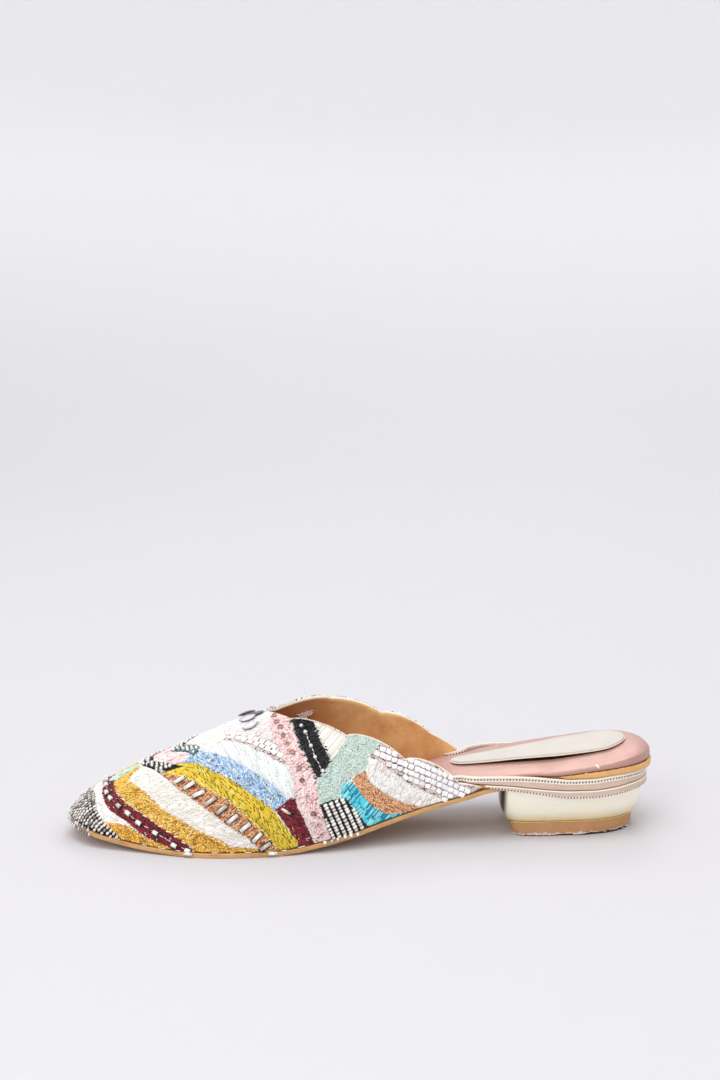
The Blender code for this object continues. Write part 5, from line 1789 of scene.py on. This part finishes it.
def lift_fray():
    """Fibres at the lift's worn edge, every second one at the place where it is thickest."""
    ring = heel_outline(HEEL_DRAW_IN + FRAY_IN, lift_gap, FRAY_PLACES, LIFT_FRONT_SLOPE * 0.85)
    outward = unit(ring - ring.mean(axis=0))
    off = np.abs(ring[:, 0] - (CENTRE_ALONG - FRAY_TUFT)) + np.where(ring[:, 1] > 0, LENGTH, 0.0)
    tuft = int(np.argmin(off))
    for i in range(FRAY_COUNT):
        if i % 2:
            at = int(DRAW.integers(0, FRAY_PLACES))
        else:
            at = int(tuft + FRAY_TUFT_SPREAD * DRAW.standard_normal()) % FRAY_PLACES
        start = ring[at] + (0, 0, DRAW.uniform(0.1, 0.5))
        aside = np.array((DRAW.uniform(-1.0, 1.0), DRAW.uniform(-0.4, 0.4), -DRAW.uniform(-0.1, 0.35)))
        end = start + outward[at] * DRAW.uniform(0.15, 0.6) + aside
        end[2] = max(end[2], FRAY_LOWEST)
        yield hair((start, (start + end) / 2 + outward[at] * 0.1, end), FRAY_RADIUS, sides=3)


def make_loose_threads():
    """Thread ends left from the sewing, and the fibres of the lift's cut edge."""
    joined([*throat_tuft(), *edge_frays(), *footbed_scrap()], "loose_threads")
    joined(lift_fray(), "lift_fray")


# ------------------------------------------------------------------------------------------------- finishes

def colour(red, green, blue):
    return (*linear(red, green, blue), 1.0)


def fed(tree, made, values):
    """Gives a node's inputs their numbers or links."""
    for key, value in values.items():
        if isinstance(value, bpy.types.NodeSocket):
            tree.links.new(value, made.inputs[key])
        else:
            made.inputs[key].default_value = value
    return made.outputs


def node(tree, kind, values, output=0, **settings):
    """One output of a new node."""
    made = tree.nodes.new(f"ShaderNode{kind}")
    for name, value in settings.items():
        setattr(made, name, value)
    return fed(tree, made, values)[output]


def noise(tree, place, scale, detail, roughness=0.5):
    return node(tree, "TexNoise", {"Vector": place, "Scale": scale, "Detail": detail, "Roughness": roughness})


def over_range(tree, value, low, high, at_low, at_high, **settings):
    """Turns a run of values from low to high into one from at_low to at_high."""
    return node(tree, "MapRange", {0: value, 1: low, 2: high, 3: at_low, 4: at_high}, **settings)


def worked_out(tree, operation, first, second, **settings):
    return node(tree, "Math", {0: first, 1: second}, operation=operation, **settings)


def mixed(tree, mask, under, over):
    return node(tree, "Mix", {0: mask, 6: under, 7: over}, output=2, data_type="RGBA")


def toned(tree, tint, share):
    """A colour made darker or lighter by a share that changes over the surface."""
    return node(tree, "VectorMath", {0: tint, "Scale": share}, operation="SCALE")


def bumped(tree, height, strength, depth):
    return node(tree, "Bump", {"Strength": strength, "Distance": depth, "Height": height})


def part_of(tree, place, axis):
    return node(tree, "SeparateXYZ", {0: place}, output=axis)


def dyed(tree):
    return node(tree, "Attribute", {}, output="Color", attribute_name="dye")


def effect(name, inputs, build):
    """A node group with named inputs (name, kind, value). Build returns its outputs by name."""
    group = bpy.data.node_groups.new(name, "ShaderNodeTree")
    for label, kind, value in inputs:
        socket = group.interface.new_socket(label, in_out="INPUT", socket_type=f"NodeSocket{kind}")
        if value is not None:
            socket.default_value = value
    given = group.nodes.new("NodeGroupInput").outputs
    made = build(group, given)
    for label, (kind, _) in made.items():
        group.interface.new_socket(label, in_out="OUTPUT", socket_type=f"NodeSocket{kind}")
    out = group.nodes.new("NodeGroupOutput").inputs
    for label, (_, value) in made.items():
        group.links.new(value, out[label])
    return group


def mottle(tree, given):
    """Soft patches between two colours, with a finer grain in them."""
    large = noise(tree, given["Place"], given["Patches"], 5.0, 0.6)
    wide = worked_out(tree, "MULTIPLY", worked_out(tree, "SUBTRACT", large, 0.5), given["Contrast"])
    mask = worked_out(tree, "ADD", wide, 0.5, use_clamp=True)
    return {"Colour": ("Color", mixed(tree, mask, given["Dark"], given["Light"])), "Mask": ("Float", mask)}


def leather_grain(tree, given):
    """Pebbled leather grain as a normal."""
    place, pebbles = given["Place"], given["Pebbles"]
    cells = node(tree, "TexVoronoi", {"Vector": place, "Scale": pebbles}, feature="SMOOTH_F1")
    height = worked_out(tree, "ADD", cells, noise(tree, place, pebbles, 4.0))
    return {"Normal": ("Vector", bumped(tree, height, given["Strength"], 0.0002))}


def fine_weave(tree, given):
    """A fine plain weave as a normal and a mask of its raised threads."""
    yarn = {"Vector": given["Place"], "Scale": given["Threads"], "Distortion": 0.6, "Detail": 1.0}
    warp, weft = (node(tree, "TexWave", yarn, 1, wave_type="BANDS", bands_direction=way) for way in "XZ")
    raised = worked_out(tree, "MAXIMUM", warp, weft)
    normal = bumped(tree, raised, given["Strength"], 0.00015)
    return {"Normal": ("Vector", normal), "Raised": ("Float", raised)}


PLACE = ("Place", "Vector", None)
STRENGTH = ("Strength", "Float", 0.3)
MOTTLE = effect("mottle", (PLACE, ("Patches", "Float", 60.0), ("Contrast", "Float", 1.6),
                           ("Dark", "Color", None), ("Light", "Color", None)), mottle)
GRAIN_EFFECT = effect("leather_grain", (PLACE, ("Pebbles", "Float", 900.0), STRENGTH), leather_grain)
WEAVE = effect("fine_weave", (PLACE, ("Threads", "Float", 700.0), STRENGTH), fine_weave)


def placed(tree, group, place, **values):
    """Outputs of an effect put into a material."""
    made = tree.nodes.new("ShaderNodeGroup")
    made.node_tree = group
    return fed(tree, made, {"Place": place, **values})


def mottled(tree, place, patches, contrast, dark, light):
    tints = {"Dark": colour(*dark), "Light": colour(*light)}
    return placed(tree, MOTTLE, place, Patches=patches, Contrast=contrast, **tints)


def finish(name, build, **numbers):
    """A material. Numbers are its plain sockets, and build returns those that change over the surface."""
    material = bpy.data.materials.new(name)
    material.use_nodes = True
    tree = material.node_tree
    shader = tree.nodes["Principled BSDF"]
    fed(tree, shader, {socket.replace("_", " "): value for socket, value in numbers.items()})
    fed(tree, shader, build(tree, node(tree, "TexCoord", {}, output="Object")))
    return material


def silk(tree, place):
    """Silky floss: each stitch has its own dye, with fine strands along its surface."""
    fibre = noise(tree, place, 2600.0, 3.0, 0.7)
    return {
        "Base Color": toned(tree, dyed(tree), over_range(tree, fibre, 0.3, 0.7, 0.86, 1.08)),
        "Normal": bumped(tree, fibre, 0.35, 0.0001),
    }


def ground(tree, place):
    """The ground cloth under the stitches, in the shade of the thread over it."""
    weave = placed(tree, WEAVE, place, Threads=260.0, Strength=0.6)
    return {
        "Base Color": toned(tree, dyed(tree), over_range(tree, weave["Raised"], 0.0, 1.0, 0.7, 1.05)),
        "Normal": weave["Normal"],
    }


def bead(roughness):
    """Cloudy glass or plate with its own dye."""
    def build(tree, place):
        cloud = noise(tree, place, 900.0, 2.0)
        return {
            "Base Color": toned(tree, dyed(tree), over_range(tree, cloud, 0.3, 0.7, 0.82, 1.08)),
            "Roughness": over_range(tree, cloud, 0.3, 0.7, roughness * 1.4, roughness * 0.7),
        }
    return build


def leather(patches, contrast, dark, light, pebbles, strength, least, greatest):
    """Mottled colour, grain, and a roughness from least to greatest."""
    def build(tree, place):
        patch = mottled(tree, place, patches, contrast, dark, light)
        return {
            "Base Color": patch["Colour"],
            "Roughness": over_range(tree, patch["Mask"], 0.0, 1.0, greatest, least),
            "Normal": placed(tree, GRAIN_EFFECT, place, Pebbles=pebbles, Strength=strength)["Normal"],
        }
    return build


def sole(tree, place):
    """Tan sole leather with a layered, burnished cut edge."""
    patch = mottled(tree, place, 140.0, 1.5, (194, 142, 86), (230, 184, 126))
    stretched = node(tree, "Mapping", {"Vector": place, "Scale": (60.0, 60.0, 2600.0)})
    layers = noise(tree, stretched, 1.0, 3.0)
    return {
        "Base Color": toned(tree, patch["Colour"], over_range(tree, layers, 0.35, 0.7, 0.78, 1.08)),
        "Roughness": over_range(tree, patch["Mask"], 0.0, 1.0, 0.75, 0.5),
        "Normal": bumped(tree, layers, 0.3, 0.00015),
    }


def strip(tree, place):
    """Pinkish beige metallic leather with a fine weave pressed into its face."""
    patch = mottled(tree, place, 160.0, 1.2, (206, 176, 156), (228, 203, 184))
    weave = placed(tree, WEAVE, place, Threads=520.0, Strength=0.35)
    return {
        "Base Color": toned(tree, patch["Colour"], over_range(tree, weave["Raised"], 0.0, 1.0, 0.86, 1.04)),
        "Roughness": over_range(tree, patch["Mask"], 0.0, 1.0, 0.46, 0.34),
        "Normal": weave["Normal"],
    }


def foil(dark, light, roughness):
    """Pale gold foil with faint ripples, warmer near the lift, and with a painted reflection of the shaded
    arch that darkens its front face where it turns under the waist.
    """
    def build(tree, place):
        patch = mottled(tree, place, 40.0, 1.0, dark, light)
        low = over_range(tree, part_of(tree, place, 2), 0.0065, 0.012, 0.7, 0.0)
        # Painted reflection: the front face is mixed towards dark brown for the shaded arch that the mirror
        # foil shows there.
        forward = over_range(tree, part_of(tree, place, 0), 0.0598, 0.0614, 0.95, 0.0)
        warm = mixed(tree, low, patch["Colour"], colour(242, 214, 140))
        scuff = noise(tree, place, 60.0, 2.0)
        return {
            "Base Color": mixed(tree, forward, warm, colour(84, 62, 38)),
            "Roughness": over_range(tree, scuff, 0.45, 0.75, roughness, roughness * 1.3),
            "Normal": bumped(tree, noise(tree, place, 60.0, 0.0), 0.03, 0.001),
        }
    return build


def suede(tree, place):
    """Tan suede: brushed nap, in darker and lighter patches, with painted shade that makes it deeper and
    redder in tone towards the toe.
    """
    patch = mottled(tree, place, 80.0, 2.2, (214, 146, 84), (250, 206, 146))
    nap = noise(tree, place, 2200.0, 4.0, 0.75)
    # Painted shade: towards the toe the lining is mixed into a darker, redder tan, for the shade inside the
    # front of the shoe.
    toe_shade = over_range(tree, part_of(tree, place, 0), -0.05, 0.012, 0.85, 0.0, interpolation_type="SMOOTHSTEP")
    wear_and_shade = mixed(tree, toe_shade, patch["Colour"], colour(190, 112, 56))
    return {
        "Base Color": toned(tree, wear_and_shade, over_range(tree, nap, 0.3, 0.7, 0.84, 1.1)),
        "Normal": bumped(tree, nap, 0.5, 0.0003),
    }


def lift(tree, place):
    """Tan-brown top piece whose cut edge is fibrous and pale near the floor."""
    patch = mottled(tree, place, 260.0, 0.9, (174, 126, 86), (202, 154, 112))
    ragged = noise(tree, place, 500.0, 3.0)
    wear_and_shade = worked_out(tree, "LESS_THAN", part_of(tree, place, 2), worked_out(tree, "MULTIPLY", ragged, 0.003))
    return {
        "Base Color": mixed(tree, wear_and_shade, patch["Colour"], colour(222, 190, 176)),
        "Normal": bumped(tree, ragged, 0.6, 0.0003),
    }


def paper(tree, place):
    """The studio's plain pale floor and wall, a little brighter higher up."""
    rise = over_range(tree, part_of(tree, place, 2), 0.0, 0.36, 0.0, 1.0, interpolation_type="SMOOTHSTEP")
    return {"Base Color": mixed(tree, rise, colour(209, 208, 211), colour(235, 235, 237))}


THREAD = finish("silk_thread", silk, Roughness=0.48, Specular_IOR_Level=0.35, Sheen_Weight=0.25,
                Sheen_Roughness=0.4)
GROUND_CLOTH = finish("ground_cloth", ground, Roughness=0.9, Specular_IOR_Level=0.2)
SUEDE = finish("suede_lining", suede, Roughness=0.95, Specular_IOR_Level=0.15, Sheen_Weight=0.5,
               Sheen_Roughness=0.5, Sheen_Tint=colour(240, 196, 150))
METAL_BEAD = finish("metal_bead", bead(0.24), Metallic=0.2, Roughness=0.24, Coat_Weight=0.5,
                    Coat_Roughness=0.08)
GLASS_BEAD = finish("pearl_glass", bead(0.22), Metallic=0.0, Roughness=0.22, Coat_Weight=0.6,
                    Coat_Roughness=0.08)
SOLE_LEATHER = finish("sole_leather", sole, Specular_IOR_Level=0.35)
STRIP_LEATHER = finish("strip_leather", strip, Metallic=0.15, Coat_Weight=0.12, Coat_Roughness=0.25)
LIFT_RUBBER = finish("heel_lift_rubber", lift, Specular_IOR_Level=0.25, Roughness=0.8)
GOLD_FOIL = finish("gold_foil", foil((252, 245, 220), (255, 252, 236), 0.22), Metallic=0.5)
GOLD_EDGE = finish("gold_foil_edge", foil((206, 164, 84), (230, 194, 120), 0.25), Metallic=0.8)
STUDIO_PAPER = finish("studio_paper", paper, Roughness=0.9, Specular_IOR_Level=0.1)

LEATHERS = (
    # name, patches, contrast, dark, light, pebbles, grain, roughness from, to, metallic, coat, its roughness
    ("collar_binding", 400, 1.4, (226, 210, 192), (248, 240, 228), 1500, 0.3, 0.6, 0.8, 0.0, 0.0, 0.03),
    ("rose_satin_leather", 70, 1.2, (178, 134, 122), (200, 160, 148), 1500, 0.12, 0.4, 0.5, 0.45, 0.1, 0.3),
    ("board_leather", 150, 1.4, (214, 156, 88), (238, 188, 120), 1200, 0.2, 0.4, 0.6, 0.0, 0.0, 0.03),
    ("pad_leather", 90, 1.2, (196, 189, 178), (210, 204, 194), 1600, 0.25, 0.4, 0.55, 0.0, 0.0, 0.03),
    ("pad_cut_edge", 500, 1.5, (232, 218, 196), (248, 240, 226), 1500, 0.4, 0.8, 0.95, 0.0, 0.0, 0.03),
    # Near-black painted shadow in the gap under the sock pad's loose edge.
    ("glue", 400, 1.6, (26, 18, 14), (70, 42, 28), 900, 0.4, 0.35, 0.6, 0.0, 0.0, 0.03),
    ("brown_glue", 500, 1.6, (84, 50, 28), (140, 92, 56), 900, 0.4, 0.35, 0.6, 0.0, 0.0, 0.03),
    ("loose_thread", 600, 1.2, (246, 230, 224), (255, 250, 246), 1800, 0.2, 0.7, 0.9, 0.0, 0.0, 0.03),
    # Near-black painted shadow under the heel lift's lip.
    ("lift_painted_shadow", 300, 1.0, (22, 15, 14), (44, 32, 28), 900, 0.3, 0.7, 0.9, 0.0, 0.0, 0.03),
    ("glazed_piping", 300, 1.2, (236, 220, 202), (250, 240, 228), 1200, 0.15, 0.25, 0.35, 0.0, 0.5, 0.15),
)
(BINDING, ROSE_LEATHER, BOARD_LEATHER, PAD_LEATHER, CREAM_EDGE, GLUE, BROWN_GLUE, LOOSE_THREAD, LIFT_SHADOW,
 PIPING) = (
    finish(name, leather(*look), Metallic=metallic, Coat_Weight=coat, Coat_Roughness=coat_roughness)
    for name, *look, metallic, coat, coat_roughness in LEATHERS
)

# ----------------------------------------------------------------------------------------------- the studio

CAMERA_PLACE = Vector((-0.095907, -0.881450, 0.274831))
CAMERA_TURNS = 6.09019, 9.30467, 0.34098  # yaw, pitch and roll in degrees
CAMERA_LENS = 68.63
STUDIO_FLOOR, STUDIO_CURVE, STUDIO_RIM = 1.05, 1.35, 0.5
CURVE_STEPS = 12
LIGHTS = (
    # name, place, target, size, power, tint
    ("overhead", (-0.25, -0.35, 1.7), (0.0, 0.0, 0.0), 1.5, 11.5, (1.0, 0.99, 0.98)),
    ("front", (-0.9, -1.5, 1.0), (0.0, 0.0, 0.0), 0.9, 9.5, (1.0, 1.0, 1.0)),
    ("back", (0.3, 1.3, 1.15), (0.03, 0.0, 0.03), 0.7, 4.5, (1.0, 1.0, 1.0)),
)
SKY, SKY_STRENGTH = (0.985, 0.98, 1.0, 1.0), 0.9


def make_camera():
    yaw, pitch, roll = (math.radians(angle) for angle in CAMERA_TURNS)
    ahead = Vector((math.sin(yaw) * math.cos(pitch), math.cos(yaw) * math.cos(pitch), -math.sin(pitch)))
    right = Vector((math.cos(yaw), -math.sin(yaw), 0.0))
    rise = right.cross(ahead)
    tilt = Matrix.Rotation(-roll, 3, ahead)
    right, rise = tilt @ right, tilt @ rise
    data = bpy.data.cameras.new("camera")
    data.lens = CAMERA_LENS
    data.sensor_width = 36.0
    data.sensor_fit = "AUTO"
    data.clip_start, data.clip_end = 0.01, 20.0
    camera = linked("camera", data)
    turn = Matrix((right, rise, -ahead)).transposed()
    camera.matrix_world = Matrix.Translation(CAMERA_PLACE) @ turn.to_4x4()
    bpy.context.scene.camera = camera


def make_studio():
    """A round studio: a flat floor that curves up into a wall on every side."""
    profile = [(0.0, 0.0), (0.4, 0.0), (STUDIO_FLOOR, 0.0)]
    for turn in math.pi / 2 * np.arange(1, CURVE_STEPS + 1) / CURVE_STEPS:
        profile.append((STUDIO_FLOOR + STUDIO_CURVE * math.sin(turn), STUDIO_CURVE * (1 - math.cos(turn))))
    profile.append((STUDIO_FLOOR + STUDIO_CURVE, STUDIO_CURVE + STUDIO_RIM))
    mesh_data = bmesh.new()
    points = [mesh_data.verts.new((x, 0.0, z)) for x, z in profile]
    for before, after in zip(points, points[1:]):
        mesh_data.edges.new((before, after))
    full_spin(mesh_data, (0, 0, 1), 72, 1e-5)
    bmesh.ops.recalc_face_normals(mesh_data, faces=mesh_data.faces)
    mesh = mesh_of(mesh_data, "studio")
    mesh.shade_smooth()
    mesh.materials.append(STUDIO_PAPER)
    linked("studio", mesh)


def make_lights():
    world = bpy.data.worlds.new("daylight")
    world.use_nodes = True
    sky = world.node_tree.nodes["Background"]
    sky.inputs["Color"].default_value = SKY
    sky.inputs["Strength"].default_value = SKY_STRENGTH
    bpy.context.scene.world = world
    bpy.context.scene.view_settings.view_transform = "Standard"
    for name, place, target, size, power, tint in LIGHTS:
        data = bpy.data.lights.new(name, "AREA")
        data.shape = "DISK"
        data.size = size
        data.energy = power
        data.color = tint
        aim = (Vector(target) - Vector(place)).to_track_quat("-Z", "Y")
        linked(name, data).matrix_world = Matrix.Translation(place) @ aim.to_matrix().to_4x4()


# --------------------------------------------------------------------------------------------- put together

def main():
    make_camera()
    make_studio()
    make_lights()
    smoothed_copy("outsole", "sole", SOLE_LEATHER, 0.15)
    smoothed_copy("insole_board", "board", BOARD_LEATHER, 0.5)
    make_heel_block()
    make_lift()
    make_heel_line()
    make_strips()
    make_strip_stitches()
    make_footbed()
    make_pad()
    make_glue_line()
    make_shell("upper_cloth", CLOTH, GROUND_CLOTH, True, ("upper",))
    make_shell("suede_lining", LINING, SUEDE)
    make_binding()
    for work in (sew_collar, embroider, sew_lines, sew_flecks, set_beads, set_tiles, sew_welt):
        for side, side_name in SIDES:
            work(side, side_name)
    make_loose_threads()


main()
